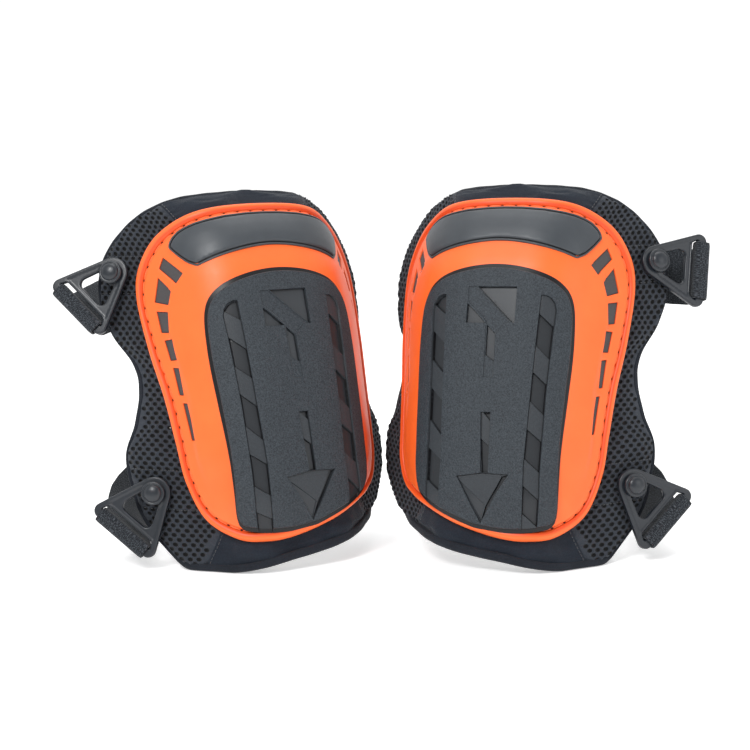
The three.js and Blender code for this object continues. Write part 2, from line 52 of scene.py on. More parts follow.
# ---------------------------------------------------------------- driving dimensions
LEAN_FOOT, LEAN_RATE = 10.5, 0.048
CURL_FROM, CURL_RATE = 165, 0.0036
TURN_FROM, TURN_TO, TURN_LOW, TURN_HIGH = 8, 54, 47, 50
TURN_LOW_T, TURN_HIGH_T = 60, 190
YAW, PAD_X, PAD_Y = 24, 52, 13
MIDDLE = (-0.36, 78.68)

CENTRE_T = 125
# Outlines as (s, t): down from the top middle, alike on both sides, then on down the clip side
# (outer) and the other side (inner, its s without its sign), to the foot's middle.
FABRIC_EDGE = {
    "top": [(0, 256.5), (42, 251.5), (77, 237), (104, 215.5), (119, 195), (124, 172), (117.5, 150),
            (104, 130.5), (102, 114), (108, 93)],
    "outer": [(117, 73), (116, 52), (111, 34), (99.5, 18), (84, 4.6), (66, 3.2), (48, 4),
              (30, 7.2), (14, 10.5)],
    "inner": [(115, 76), (113, 59), (107, 45), (97, 34.5), (84, 28), (60, 23), (33, 18.6), (14, 15)],
    "foot": (0, 12.6),
}
CAP_EDGE = {
    "top": [(0, 239.5), (38, 235.5), (70, 219), (88.5, 197.5), (95, 175), (91.5, 141), (84.5, 109),
            (80, 80)],
    "outer": [(76, 55), (65, 32.5), (45, 21.5), (28, 20), (14, 21)],
    "inner": [(77, 60), (67.5, 46.5), (53, 41), (37, 36.7), (16, 28.6)],
    "foot": (0, 23.8),
}
TREAD_EDGE = {
    "top": [(0, 188), (19, 185.5), (34, 177.5), (42, 164), (43.5, 140), (42, 108), (40.5, 76)],
    "outer": [(40.5, 52), (40.8, 33), (32, 28.7), (14.5, 27.8)],
    "inner": [(39.5, 60), (36, 48), (25, 39), (8, 31.4)],
    "foot": (0, 29.4),
}
EDGE_DEPTH, MIDDLE_DEPTH, LINING_THICK, GEL_THICK = 9, 22, 2, 4.6
RIM_TOP, SHELL_TOP, SHELL_THICK = 4.6, 9.4, 3
TREAD_TOP, TREAD_THICK, TREAD_DROP, GAP, INNER_GAP = 13, 2.9, 5, 0.8, 2
RIM_WIDTH, RIM_FOOT, RIM_ROLL = 6, 0.6, 5.5
GROOVE_AT, GROOVE_DEPTH, GROOVE_HALF = 6.8, 1.7, 0.75
LEDGE_HEIGHT = 1.1
LEDGE_T, LEDGE_IN = [80, 95, 130, 165, 178, 190, 210], [16.5, 17.5, 21, 23.5, 26, 28, 31]
RIM_PITCH, SEAM_PITCH, TAB_PITCH = 9.0, 2.6, 2.4
RIM_THREAD, STITCH_HOLE_SHADE, SEAM_THREAD, TAB_THREAD = 0.5, 0.7, 0.24, 0.26

WINDOWS = [
    [(69, 201.5), (73.5, 193.5), (61, 183), (54.5, 190)],
    [(75, 188), (80.5, 171), (69, 169), (65.5, 178.5)],
    [(80, 165.5), (78.5, 151), (71.5, 151), (70, 165)],
    [(77, 146.5), (74.5, 133), (68.9, 133.5), (69.9, 147.5)],
    [(73.5, 129), (71.5, 111), (67.6, 111), (68.6, 129)],
    [(69.7, 106.5), (66.6, 82.5), (63.3, 82.5), (66.0, 106.5)],
]
WINDOW_CORNER, WINDOW_EDGE, WINDOW_BEVEL = 0.8, 1.6, 0.25
INLAY_GAP, INLAY_SINK, INLAY_BEVEL = 0.3, 0.75, 0.35
BROW_LEVELS = [0, 0.25, 0.6, 1.1, 1.45, 1.8, 2.3, 2.7]
BROW_LIFTS = [0.7, 1.15, 1.3, 1.2, 0.5, 0.5, 1.6, 1.85]
BROW_MIDDLE = (9, 2.3)
TREAD_LEVELS = [-3.0, -2.7, -0.25, 0.1, 0.5]
TREAD_FALLS = [-3.3, -2.3, -1.9, -0.35, 0]
TREAD_SLAB = 3.4
TOP_SEAMS = (61.5, 111)
BOTTOM_SEAMS = (-118, -60)

STUD_POST, STUD_HEAD, STUD_HEIGHT, STUD_FOOT, STUD_CLEARANCE = 4, 7.6, 4.6, 3.1, 1.3
CLIP_HEIGHT, CLIP_THICK, CLIP_APEX, CLIP_LENGTH, CLIP_HALF, CLIP_CORNER = 5.5, 4, 10.5, 35, 24.5, 5
HOLE_APEX, HOLE_TO, HOLE_HALF, HOLE_CORNER = 5, 20.5, 9.5, 4
SLOT_FROM, SLOT_TO, SLOT_HALF = 24.6, 29.2, 20.5
STRAP_WIDTH, STRAP_THICK, STRAP_COLS = 38, 1.6, 25
LEVELS = {"upper": (110, 190, -106, 174), "lower": (99, 48, -90, 62)}
STANCE = {
    ("left", "upper"): (12, 50), ("left", "lower"): (12, 53),
    ("right", "upper"): (8, 16), ("right", "lower"): (8, 50),
}
BAND_WAY = [(-50, 112), (-18, 133), (26, 137), (58, 124), (78, 102)]
BAND_FALL = 0.75
SIDES = {"left": -1, "right": 1}
FRONT_GLOW, BACK_GLOW, FLOOR_GLOW = 0.42, 1.06, 0.42
FLOOR_RADIUS = 9
CAMERA_AIM = (-0.00773, -0.03873, 0.118)
CAMERA_TURN, CAMERA_RISE, CAMERA_ROLL, CAMERA_AWAY = -3.092, 7.247, -1.329, 1.0622
LAMPS = {
    "key": ((-0.8, -1.4, 1.5), 0.6, 26),
    "fill": ((1.3, -1.2, 0.7), 1.0, 6),
    "top": ((0.1, 0.2, 1.7), 1.2, 10),
}
LAMP_AIM = (0, 0, 0.1)


# ---------------------------------------------------------------- the pad's face
def smooth(x):
    x = np.clip(x, 0, 1)
    return x * x * (3 - 2 * x)


def mix(a, b, f):
    return a + (b - a) * f


def running(values, step=1):
    return np.concatenate([[0], np.cumsum(values) * step])


def unit(v):
    return v / np.linalg.norm(v, axis=-1, keepdims=True)


def run_along(path):
    """The distance run from a path's first point to each of its points."""
    return running(np.linalg.norm(np.diff(path, axis=0), axis=1))


STEP = 0.25
T_AT = np.arange(-20, 300 + STEP / 2, STEP)
T_MID = T_AT[:-1] + STEP / 2


def lean_at(t):
    return np.radians(LEAN_FOOT + LEAN_RATE * t + CURL_RATE * np.maximum(0, t - CURL_FROM) ** 2)


T_Y = running(np.sin(lean_at(T_MID)), STEP)
T_Z = running(np.cos(lean_at(T_MID)), STEP)
T_Y -= np.interp(0, T_AT, T_Y)
T_Z -= np.interp(0, T_AT, T_Z)
S_AT = np.arange(0, 160 + STEP / 2, STEP)
S_MID = S_AT[:-1] + STEP / 2


def turn_tables(full):
    turn = np.radians(full) * smooth((S_MID - TURN_FROM) / (TURN_TO - TURN_FROM))
    return running(np.cos(turn), STEP), running(np.sin(turn), STEP)


LOW_X, LOW_Y = turn_tables(TURN_LOW)
HIGH_X, HIGH_Y = turn_tables(TURN_HIGH)


def skin(s, t, h):
    """Pad-frame points at height h over (s, t)."""
    s, t, h = (a.astype(float) for a in np.broadcast_arrays(s, t, h))
    rise = smooth((t - TURN_LOW_T) / (TURN_HIGH_T - TURN_LOW_T))
    a = np.abs(s)
    side = np.where(s < 0, -1.0, 1.0)
    x = side * mix(np.interp(a, S_AT, LOW_X), np.interp(a, S_AT, HIGH_X), rise)
    y = mix(np.interp(a, S_AT, LOW_Y), np.interp(a, S_AT, HIGH_Y), rise)
    n = normals(s, t)
    p = np.stack([x, y + np.interp(t, T_AT, T_Y), np.interp(t, T_AT, T_Z)], axis=-1)
    return p + n * h[..., None]


def directions(s, t):
    """Unit vectors along s, along t and outwards."""
    s, t = (a.astype(float) for a in np.broadcast_arrays(s, t))
    rise = smooth((t - TURN_LOW_T) / (TURN_HIGH_T - TURN_LOW_T))
    turn = np.radians(mix(TURN_LOW, TURN_HIGH, rise))
    turn = turn * smooth((np.abs(s) - TURN_FROM) / (TURN_TO - TURN_FROM))
    turn = np.where(s < 0, -turn, turn)
    lean = lean_at(t)
    along_s = np.stack([np.cos(turn), np.sin(turn), np.zeros_like(turn)], axis=-1)
    along_t = np.stack([np.zeros_like(lean), np.sin(lean), np.cos(lean)], axis=-1)
    return along_s, along_t, unit(np.cross(along_s, along_t))


def normals(s, t):
    return directions(s, t)[2]


def to_world(points, sign):
    """Pad-frame millimetres to metres in the row frame, for the right pad (1) or the left (-1)."""
    yaw = math.radians(-sign * YAW)
    x, y, z = sign * points[..., 0], points[..., 1], np.maximum(points[..., 2], 0)
    wx = x * math.cos(yaw) - y * math.sin(yaw) + sign * PAD_X - MIDDLE[0]
    wy = x * math.sin(yaw) + y * math.cos(yaw) - sign * PAD_Y - MIDDLE[1]
    return np.stack([wx, wy, z], axis=-1) / 1000


# ---------------------------------------------------------------- outlines
def hermite(w, b, c, m0, m1):
    """The cubic from b to c at shares w, with slopes m0 and m1 at its ends."""
    p = (2 * w**3 - 3 * w**2 + 1) * b + (w**3 - 2 * w**2 + w) * m0
    return p + (-2 * w**3 + 3 * w**2) * c + (w**3 - w**2) * m1


def polar(edge):
    """Radius of a smooth closed outline about (0, CENTRE_T), as a function of the angle in degrees."""
    other = [(-s, t) for s, t in reversed(edge["top"][1:] + edge["inner"])]
    ring = np.array(edge["top"] + edge["outer"] + [edge["foot"]] + other, float) - [0, CENTRE_T]
    at = np.arange(720) / 720 * len(ring)
    i = np.floor(at).astype(int)
    w = (at - i)[:, None]
    a, b, c, d = (ring[(i + k) % len(ring)] for k in (-1, 0, 1, 2))
    p = hermite(w, b, c, (c - a) / 2, (d - b) / 2)
    angle = np.degrees(np.arctan2(p[:, 1], p[:, 0]))
    radius = np.hypot(p[:, 0], p[:, 1])
    order = np.argsort(angle)
    return lambda x: np.interp(x, angle[order], radius[order], period=360)


fabric_radius = polar(FABRIC_EDGE)
cap_radius = polar(CAP_EDGE)
tread_radius = polar(TREAD_EDGE)


def angle_of(s, t):
    return np.degrees(np.arctan2(np.asarray(t) - CENTRE_T, s))


def radius_of(s, t):
    return np.hypot(s, np.asarray(t) - CENTRE_T)


def at_polar(angle, r):
    a = np.radians(angle)
    return np.stack([r * np.cos(a), CENTRE_T + r * np.sin(a)], axis=-1)


# ---------------------------------------------------------------- heights of the layers
def tread_top(s, t):
    return TREAD_TOP - TREAD_DROP * smooth((50 - np.asarray(t, float)) / 28)


def crown_top(s, t):
    a = angle_of(s, t)
    edge = cap_radius(a)
    g = np.clip((edge - radius_of(s, t)) / (edge - tread_radius(a)), 0, 1)
    crown = RIM_TOP + (SHELL_TOP - RIM_TOP) * np.sin(g * math.pi / 2)
    return np.minimum(crown, tread_top(s, t) - TREAD_THICK - GAP)


def ledge(s, t):
    """The soft step up from the band of windows to the shoulder; it ends under the tread."""
    a, r = angle_of(s, t), radius_of(s, t)
    d = cap_radius(a) - r
    at = np.interp(t, LEDGE_T, LEDGE_IN)
    side = smooth((205 - t) / 18) * smooth((t - 50) / 25)
    return LEDGE_HEIGHT * side * smooth((d - at) / 1.8) * smooth((r - tread_radius(a) + 3) / 1.8)


def cap_top(s, t):
    """The cap's face: a rolled rim, a stitched groove and a crowned band."""
    d = cap_radius(angle_of(s, t)) - radius_of(s, t)
    half = RIM_WIDTH / 2
    roll = RIM_FOOT + RIM_ROLL * np.sqrt(np.clip(1 - ((half - np.clip(d, 0, half)) / half) ** 2, 0, 1))
    bead = roll - np.clip((d - half) / half, 0, 2) ** 2
    band = crown_top(s, t) + ledge(s, t)
    top = mix(bead, band, smooth((d - RIM_WIDTH - 0.1) / 1.5))
    return top - GROOVE_DEPTH * np.exp(-(((d - GROOVE_AT) / GROOVE_HALF) ** 2))


def lining_back(s, t):
    a = angle_of(s, t)
    edge = fabric_radius(a)
    f = (edge - radius_of(s, t)) / (edge - cap_radius(a))
    return -mix(EDGE_DEPTH, MIDDLE_DEPTH, smooth(f))


# ---------------------------------------------------------------- meshes
def show(ob):
    bpy.context.scene.collection.objects.link(ob)


def put_mesh(side, name, points, faces, body, nodes, material, painted_shade_and_finish=None, st=None, sharp=35):
    """A smooth-shaded piece of one side, from pad-frame points; body and nodes lack their side's name.

    Faces run anticlockwise seen from outside. The per-point shade values darken a material's colour as
    painted shade, and on the tread they also mark its smoother recess floors; st is its cloth map."""
    sign = SIDES[side]
    me = bpy.data.meshes.new(f"{side}_{name}")
    faces = [tuple(int(i) for i in (f if sign > 0 else f[::-1])) for f in faces]
    me.from_pydata([tuple(p) for p in to_world(points, sign)], [], faces)
    if painted_shade_and_finish is not None:
        layer = me.attributes.new("painted_shade_and_finish", "FLOAT", "POINT")
        layer.data.foreach_set("value", np.asarray(painted_shade_and_finish, np.float32))
    if st is not None:
        corners = np.zeros(len(me.loops), np.int32)
        me.loops.foreach_get("vertex_index", corners)
        uv = me.uv_layers.new(name="cloth")
        uv.data.foreach_set("uv", (np.asarray(st, np.float32)[corners] / 1000).ravel())
    me.update()
    ob = bpy.data.objects.new(f"{side}_{name}", me)
    show(ob)
    me.materials.append(MATERIALS[material])
    me.shade_smooth()
    if sharp < 180:
        me.set_sharp_from_angle(angle=math.radians(sharp))
    if body:
        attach(ob, f"{side}_{body}")
    if nodes:
        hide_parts(*(f"{side}_{node}" for node in nodes))
    return ob


def triangulate(loops, points, keep):
    """Constrained Delaunay triangles over (s, t): closed loops are kept as edges, and keep() says
    which triangles stay, by their middles."""
    coords, edges = [], []
    for loop in loops:
        start = len(coords)
        coords.extend(map(tuple, loop))
        edges.extend((start + i, start + (i + 1) % len(loop)) for i in range(len(loop)))
    coords.extend(map(tuple, points))
    verts = [Vector((float(a), float(b))) for a, b in coords]
    out = delaunay_2d_cdt(verts, edges, [], 0, 1e-5)
    v = np.array([tuple(p) for p in out[0]])
    f = np.array([tuple(t) for t in out[2]])
    middle = v[f].mean(axis=1)
    f = f[keep(middle[:, 0], middle[:, 1])]
    e1, e2 = v[f[:, 1]] - v[f[:, 0]], v[f[:, 2]] - v[f[:, 0]]
    turn = e1[:, 0] * e2[:, 1] - e1[:, 1] * e2[:, 0]
    f[turn < 0] = f[turn < 0][:, ::-1]
    used, f = np.unique(f, return_inverse=True)
    origin = [min(out[3][i]) if out[3][i] else -1 for i in used]
    return v[used], f.reshape(-1, 3), np.array(origin)


def closed(f, count):
    """Top triangles plus the same ones underneath, turned over, and walls round their borders."""
    edges = {}
    for a, b, c in f:
        for e in ((a, b), (b, c), (c, a)):
            edges[e] = True
    walls = [(a, a + count, b + count, b) for a, b in edges if (b, a) not in edges]
    under = [tuple(i + count for i in t[::-1]) for t in f]
    return [tuple(t) for t in f] + under + walls


def slab_from(v, f, top, low):
    """Points and faces of a closed sheet between two heights."""
    points = np.vstack([skin(v[:, 0], v[:, 1], top), skin(v[:, 0], v[:, 1], low)])
    return points, closed(f, len(v))


def even_grid(across, up, step):
    """Points (s, t) of a square grid between two (from, to) pairs."""
    grid = np.meshgrid(np.arange(*across, step), np.arange(*up, step))
    return np.stack(grid, -1).reshape(-1, 2)


def two_skins(cols, rows):
    """Quads of a closed ring of columns and of a second such layer under it, without its rims."""
    count, faces = cols * rows, []
    for i in range(cols):
        p, q = i * rows, ((i + 1) % cols) * rows
        for j in range(rows - 1):
            faces.append((p + j, p + j + 1, q + j + 1, q + j))
            faces.append((count + p + j, count + q + j, count + q + j + 1, count + p + j + 1))
    return faces


def ring_points(radius, inset, count):
    a = np.arange(count) * 360 / count
    return at_polar(a, radius(a) - inset)


def offset(poly, d):
    """A polygon moved inwards by d, with mitred corners."""
    p = np.array(poly, float)
    area = np.sum(p[:, 0] * np.roll(p[:, 1], -1) - np.roll(p[:, 0], -1) * p[:, 1])
    if area < 0:
        p = p[::-1]
    e = unit(np.roll(p, -1, axis=0) - p)
    n = np.stack([-e[:, 1], e[:, 0]], axis=1)
    before = np.roll(n, 1, axis=0)
    m = n + before
    m /= np.maximum(np.sum(m * m, axis=1, keepdims=True) / 2, 0.25)
    return p + m * d


def rounded(poly, r, steps=4):
    """A polygon with its corners cut by short curves."""
    p = np.array(poly, float)
    out = []
    for i in range(len(p)):
        a, b, c = p[i - 1], p[i], p[(i + 1) % len(p)]
        ra = min(r, np.linalg.norm(a - b) * 0.4)
        rc = min(r, np.linalg.norm(c - b) * 0.4)
        start, end = b + unit(a - b) * ra, b + unit(c - b) * rc
        for k in range(steps + 1):
            w = k / steps
            out.append((1 - w) ** 2 * start + 2 * w * (1 - w) * b + w * w * end)
    return np.array(out)


def split(poly, step):
    """A polygon with its long edges divided."""
    p = np.array(poly, float)
    out = []
    for i in range(len(p)):
        a, b = p[i], p[(i + 1) % len(p)]
        n = max(1, int(math.ceil(np.linalg.norm(b - a) / step)))
        out.extend(a + (b - a) * k / n for k in range(n))
    return np.array(out)


def inside_by(poly, s, t):
    """Distance inside a polygon, negative outside it."""
    p = np.array(poly, float)
    q = np.stack([np.asarray(s, float), np.asarray(t, float)], axis=-1)
    best = np.full(q.shape[:-1], 1e9)
    inside = np.zeros(q.shape[:-1], bool)
    for i in range(len(p)):
        a, b = p[i], p[(i + 1) % len(p)]
        e = b - a
        k = np.clip(((q - a) @ e) / (e @ e), 0, 1)
        best = np.minimum(best, np.linalg.norm(q - a - k[..., None] * e, axis=-1))
        crosses = (a[1] > q[..., 1]) != (b[1] > q[..., 1])
        with np.errstate(divide="ignore", invalid="ignore"):
            at = a[0] + (q[..., 1] - a[1]) * e[0] / (e[1] if e[1] else 1e-12)
        inside ^= crosses & (q[..., 0] < at)
    return np.where(inside, best, -best)


# ---------------------------------------------------------------- materials
class Nodes:
    """A short way to build one Principled material; lengths in its patterns are millimetres."""

    def __init__(self, name, color, roughness, **inputs):
        self.material = bpy.data.materials.new(name)
        self.material.use_nodes = True
        self.tree = self.material.node_tree
        self.shader = self.tree.nodes["Principled BSDF"]
        self.shader.inputs["Base Color"].default_value = (*color, 1)
        self.shader.inputs["Roughness"].default_value = roughness
        for key, value in inputs.items():
            self.shader.inputs[key.replace("_", " ")].default_value = value
        self.material.diffuse_color = (*color, 1)

    def add(self, kind, **settings):
        node = self.tree.nodes.new(kind)
        for key, value in settings.items():
            setattr(node, key, value)
        return node

    def link(self, a, b):
        self.tree.links.new(a, b)

    def scaled(self, where, scale):
        node = self.add("ShaderNodeVectorMath", operation="SCALE")
        node.inputs["Scale"].default_value = scale
        self.link(where, node.inputs[0])
        return node.outputs[0]

    def place(self):
        return self.scaled(self.add("ShaderNodeTexCoord").outputs["Object"], 1000)

    def cloth(self, turn=0):
        spin = self.add("ShaderNodeVectorRotate", rotation_type="Z_AXIS")
        spin.inputs["Angle"].default_value = math.radians(turn)
        where = self.add("ShaderNodeUVMap", uv_map="cloth").outputs[0]
        self.link(self.scaled(where, 1000), spin.inputs["Vector"])
        return spin.outputs[0]

    def noise(self, where, size, detail=2.0, stretch=(1, 1, 1)):
        fit = self.add("ShaderNodeVectorMath", operation="MULTIPLY")
        fit.inputs[1].default_value = [k / size for k in stretch]
        self.link(where, fit.inputs[0])
        node = self.add("ShaderNodeTexNoise")
        node.inputs["Scale"].default_value = 1
        node.inputs["Detail"].default_value = detail
        self.link(fit.outputs[0], node.inputs["Vector"])
        return node.outputs["Fac"]

    def cells(self, where, size):
        node = self.add("ShaderNodeTexVoronoi", feature="SMOOTH_F1")
        node.inputs["Scale"].default_value = 1
        node.inputs["Smoothness"].default_value = 0.4
        self.link(self.scaled(where, 1 / size), node.inputs["Vector"])
        return node.outputs["Distance"]

    def wave(self, where, axis, pitch):
        split_up = self.add("ShaderNodeSeparateXYZ")
        self.link(where, split_up.inputs[0])
        return self.maths("SINE", self.maths("MULTIPLY", split_up.outputs[axis], 2 * math.pi / pitch))

    def maths(self, operation, a, b=0.0):
        node = self.add("ShaderNodeMath", operation=operation)
        for socket, value in zip(node.inputs, (a, b)):
            if isinstance(value, (int, float)):
                socket.default_value = value
            else:
                self.link(value, socket)
        return node.outputs[0]

    def ramp(self, value, low, high, start=0.0, end=1.0):
        node = self.add("ShaderNodeMapRange")
        for key, number in zip(("From Min", "From Max", "To Min", "To Max"), (start, end, low, high)):
            node.inputs[key].default_value = number
        self.link(value, node.inputs["Value"])
        return node.outputs["Result"]

    def tint(self, factor, a, b):
        node = self.add("ShaderNodeMix", data_type="RGBA")
        for socket, value in ((node.inputs[6], a), (node.inputs[7], b)):
            if isinstance(value, tuple):
                socket.default_value = (*value, 1)
            else:
                self.link(value, socket)
        self.link(factor, node.inputs[0])
        return node.outputs[2]

    # The per-point shade values: painted shade in grooves, pits, recess corners and on side walls; on the
    # tread they also mark its smoother recess floors.
    def painted_shade_and_finish(self):
        return self.add("ShaderNodeAttribute", attribute_name="painted_shade_and_finish").outputs["Fac"]

    def color(self, value):
        self.link(value, self.shader.inputs["Base Color"])

    def roughness(self, value):
        self.link(value, self.shader.inputs["Roughness"])

    def bump(self, height, depth, strength=1.0):
        node = self.add("ShaderNodeBump")
        node.inputs["Distance"].default_value = depth / 1000
        node.inputs["Strength"].default_value = strength
        self.link(height, node.inputs["Height"])
        before = self.shader.inputs["Normal"].links
        if before:
            self.link(before[0].from_socket, node.inputs["Normal"])
        self.link(node.outputs[0], self.shader.inputs["Normal"])


def orange_plastic():
    m = Nodes("orange_plastic", (0.93, 0.135, 0.022), 0.42, Specular_IOR_Level=0.4)
    place = m.place()
    patches = m.noise(place, 22, 3)
    base = m.tint(patches, (0.90, 0.120, 0.018), (0.97, 0.155, 0.028))
    # The shade values tint the orange to dark red: painted shade in the rim's stitched groove, on the bead's
    # inner side and at the window bevels.
    m.color(m.tint(m.ramp(m.painted_shade_and_finish(), 0, 1), base, (0.56, 0.030, 0.005)))
    m.roughness(m.ramp(m.noise(place, 3, 4), 0.36, 0.5))
    m.bump(m.noise(place, 0.5, 2), 0.02)
    return m.material


def tread_rubber():
    m = Nodes("tread_rubber", (0.035, 0.040, 0.045), 0.7, Specular_IOR_Level=0.35)
    place = m.place()
    grain = m.cells(place, 0.62)
    lively = m.noise(place, 0.9, 3)
    base = m.tint(m.ramp(lively, 0, 1, 0.32, 0.68), (0.012, 0.016, 0.021), (0.038, 0.047, 0.056))
    # Painted shade: high values tint the rubber near black in recess corners, the deepest pockets and on the
    # plate's side wall. Middle values give the pockets' smoother, even-toned, glossier floor.
    painted_shade_and_finish = m.painted_shade_and_finish()
    smoother = m.tint(m.ramp(painted_shade_and_finish, 0, 1, 0, 0.6), base, (0.027, 0.031, 0.036))
    m.color(m.tint(m.ramp(painted_shade_and_finish, 0, 1, 0.62, 0.95), smoother, (0.004, 0.004, 0.005)))
    m.roughness(m.ramp(painted_shade_and_finish, 0.62, 0.4, 0, 0.6))
    fade = m.maths("MULTIPLY", grain, m.ramp(painted_shade_and_finish, 1, 0.1, 0, 0.6))
    m.bump(fade, 0.22)
    return m.material


def smooth_grey():
    m = Nodes("smooth_grey", (0.052, 0.060, 0.068), 0.42, Specular_IOR_Level=0.45)
    place = m.place()
    base = m.tint(m.noise(place, 9, 4), (0.033, 0.039, 0.046), (0.046, 0.053, 0.061))
    # The shade values tint the plate near black: painted shade in the brow's groove.
    m.color(m.tint(m.ramp(m.painted_shade_and_finish(), 0, 1), base, (0.006, 0.006, 0.007)))
    m.roughness(m.ramp(m.noise(place, 2.5, 3), 0.36, 0.5))
    m.bump(m.noise(place, 0.35, 2), 0.012)
    return m.material


def inlay_grey():
    m = Nodes("inlay_grey", (0.052, 0.048, 0.050), 0.55, Specular_IOR_Level=0.35)
    place = m.place()
    m.color(m.tint(m.noise(place, 1.6, 3), (0.044, 0.041, 0.042), (0.062, 0.057, 0.059)))
    m.bump(m.cells(place, 0.5), 0.05)
    return m.material


def spacer_mesh():
    m = Nodes("spacer_mesh", (0.036, 0.042, 0.052), 0.75, Specular_IOR_Level=0.25, Sheen_Weight=0.08)
    where = m.cloth(38)
    other = m.cloth(-38)
    yarn = m.maths("MULTIPLY", m.wave(where, 0, 0.42), m.wave(other, 0, 0.42))
    fuzz = m.noise(m.place(), 0.5, 3)
    base = m.tint(fuzz, (0.016, 0.020, 0.028), (0.042, 0.050, 0.064))
    # Painted shade: the pits of the knit's holes are tinted near black.
    m.color(m.tint(m.ramp(m.painted_shade_and_finish(), 0, 1, 0.15, 0.6), base, (0.0008, 0.0008, 0.0011)))
    m.bump(yarn, 0.07, 0.8)
    m.bump(fuzz, 0.08, 0.6)
    return m.material


def woven_fabric(name, dark, light, pitch=0.55, sheen=0.08):
    m = Nodes(name, light, 0.85, Specular_IOR_Level=0.2, Sheen_Weight=sheen, Sheen_Roughness=0.5)
    cloth = m.cloth()
    weave = m.maths("MULTIPLY", m.wave(cloth, 0, pitch), m.wave(cloth, 1, pitch))
    fuzz = m.noise(m.place(), 0.7, 4)
    soft = m.noise(m.place(), 14, 2)
    mixed = m.maths("ADD", m.maths("MULTIPLY", fuzz, 0.7), m.maths("MULTIPLY", soft, 0.3))
    m.color(m.tint(m.ramp(mixed, 0, 1, 0.3, 0.7), dark, light))
    m.bump(weave, 0.06, 0.8)
    m.bump(fuzz, 0.06, 0.5)
    return m.material


def webbing():
    m = Nodes("webbing", (0.02, 0.023, 0.028), 0.9, Specular_IOR_Level=0.2, Sheen_Weight=0.1)
    cloth = m.cloth()
    ribs = m.wave(cloth, 1, 1.25)
    yarn = m.maths("MULTIPLY", m.wave(cloth, 0, 0.8), ribs)
    fleck = m.noise(cloth, 0.55, 2, (1, 0.5, 1))
    m.color(m.tint(m.ramp(fleck, 0, 1, 0.45, 0.72), (0.008, 0.010, 0.013), (0.075, 0.085, 0.098)))
    m.bump(ribs, 0.10, 0.6)
    m.bump(yarn, 0.09, 0.7)
    return m.material


def clip_plastic():
    m = Nodes("clip_plastic", (0.016, 0.019, 0.024), 0.3, Specular_IOR_Level=0.5)
    place = m.place()
    m.color(m.tint(m.noise(place, 6, 3), (0.009, 0.012, 0.017), (0.016, 0.020, 0.026)))
    m.roughness(m.ramp(m.noise(place, 1.8, 3), 0.28, 0.42))
    m.bump(m.noise(place, 0.4, 2), 0.012)
    return m.material


def foam_material():
    m = Nodes("foam", (0.5, 0.48, 0.43), 0.95)
    place = m.place()
    m.color(m.tint(m.noise(place, 4, 3), (0.46, 0.44, 0.39), (0.56, 0.54, 0.49)))
    m.bump(m.cells(place, 1.1), 0.25)
    return m.material


def gel_material():
    m = Nodes("gel", (0.06, 0.2, 0.45), 0.2)
    place = m.place()
    m.color(m.tint(m.noise(place, 7, 3), (0.05, 0.17, 0.42), (0.07, 0.23, 0.5)))
    m.bump(m.noise(place, 2, 2), 0.1)
    return m.material


def thread(name, color, roughness, dark, light):
    m = Nodes(name, color, roughness, Sheen_Weight=0.3)
    m.color(m.tint(m.noise(m.place(), 0.5, 2), dark, light))
    m.bump(m.noise(m.place(), 0.2, 2), 0.04)
    return m.material


# Near-black dots at the ends of the rim's stitches: painted shade standing in for the needle holes.
def stitch_hole_shade():
    m = Nodes("stitch_hole_shade", (0.05, 0.006, 0.003), 0.8)
    m.color(m.tint(m.noise(m.place(), 0.5, 2), (0.03, 0.004, 0.002), (0.09, 0.010, 0.004)))
    return m.material


MATERIALS = {
    "orange": orange_plastic(),
    "tread": tread_rubber(),
    "brow": smooth_grey(),
    "inlay": inlay_grey(),
    "mesh": spacer_mesh(),
    "plain": woven_fabric("plain_fabric", (0.007, 0.0105, 0.017), (0.017, 0.023, 0.034)),
    "lining": woven_fabric("lining_fabric", (0.012, 0.013, 0.015), (0.030, 0.032, 0.036), 0.8, 0.15),
    "binding": woven_fabric("binding_tape", (0.007, 0.009, 0.013), (0.018, 0.022, 0.031), 0.7),
    "webbing": webbing(),
    "clip": clip_plastic(),
    "foam": foam_material(),
    "gel": gel_material(),
    "thread_orange": thread(
        "thread_orange", (0.95, 0.17, 0.03), 0.6, (0.8, 0.10, 0.015), (1.0, 0.22, 0.05),
    ),
    "thread_dark": thread(
        "thread_dark", (0.02, 0.022, 0.026), 0.7, (0.015, 0.017, 0.02), (0.05, 0.055, 0.062),
    ),
    "stitch_hole_shade": stitch_hole_shade(),
}


# ---------------------------------------------------------------- cap, tread, brow and inserts
def mirrored(poly):
    return [(-s, t) for s, t in poly]


def window_loops(sign):
    quads = WINDOWS if sign > 0 else [mirrored(quad) for quad in WINDOWS]
    return [split(rounded(quad, WINDOW_CORNER), WINDOW_EDGE) for quad in quads]


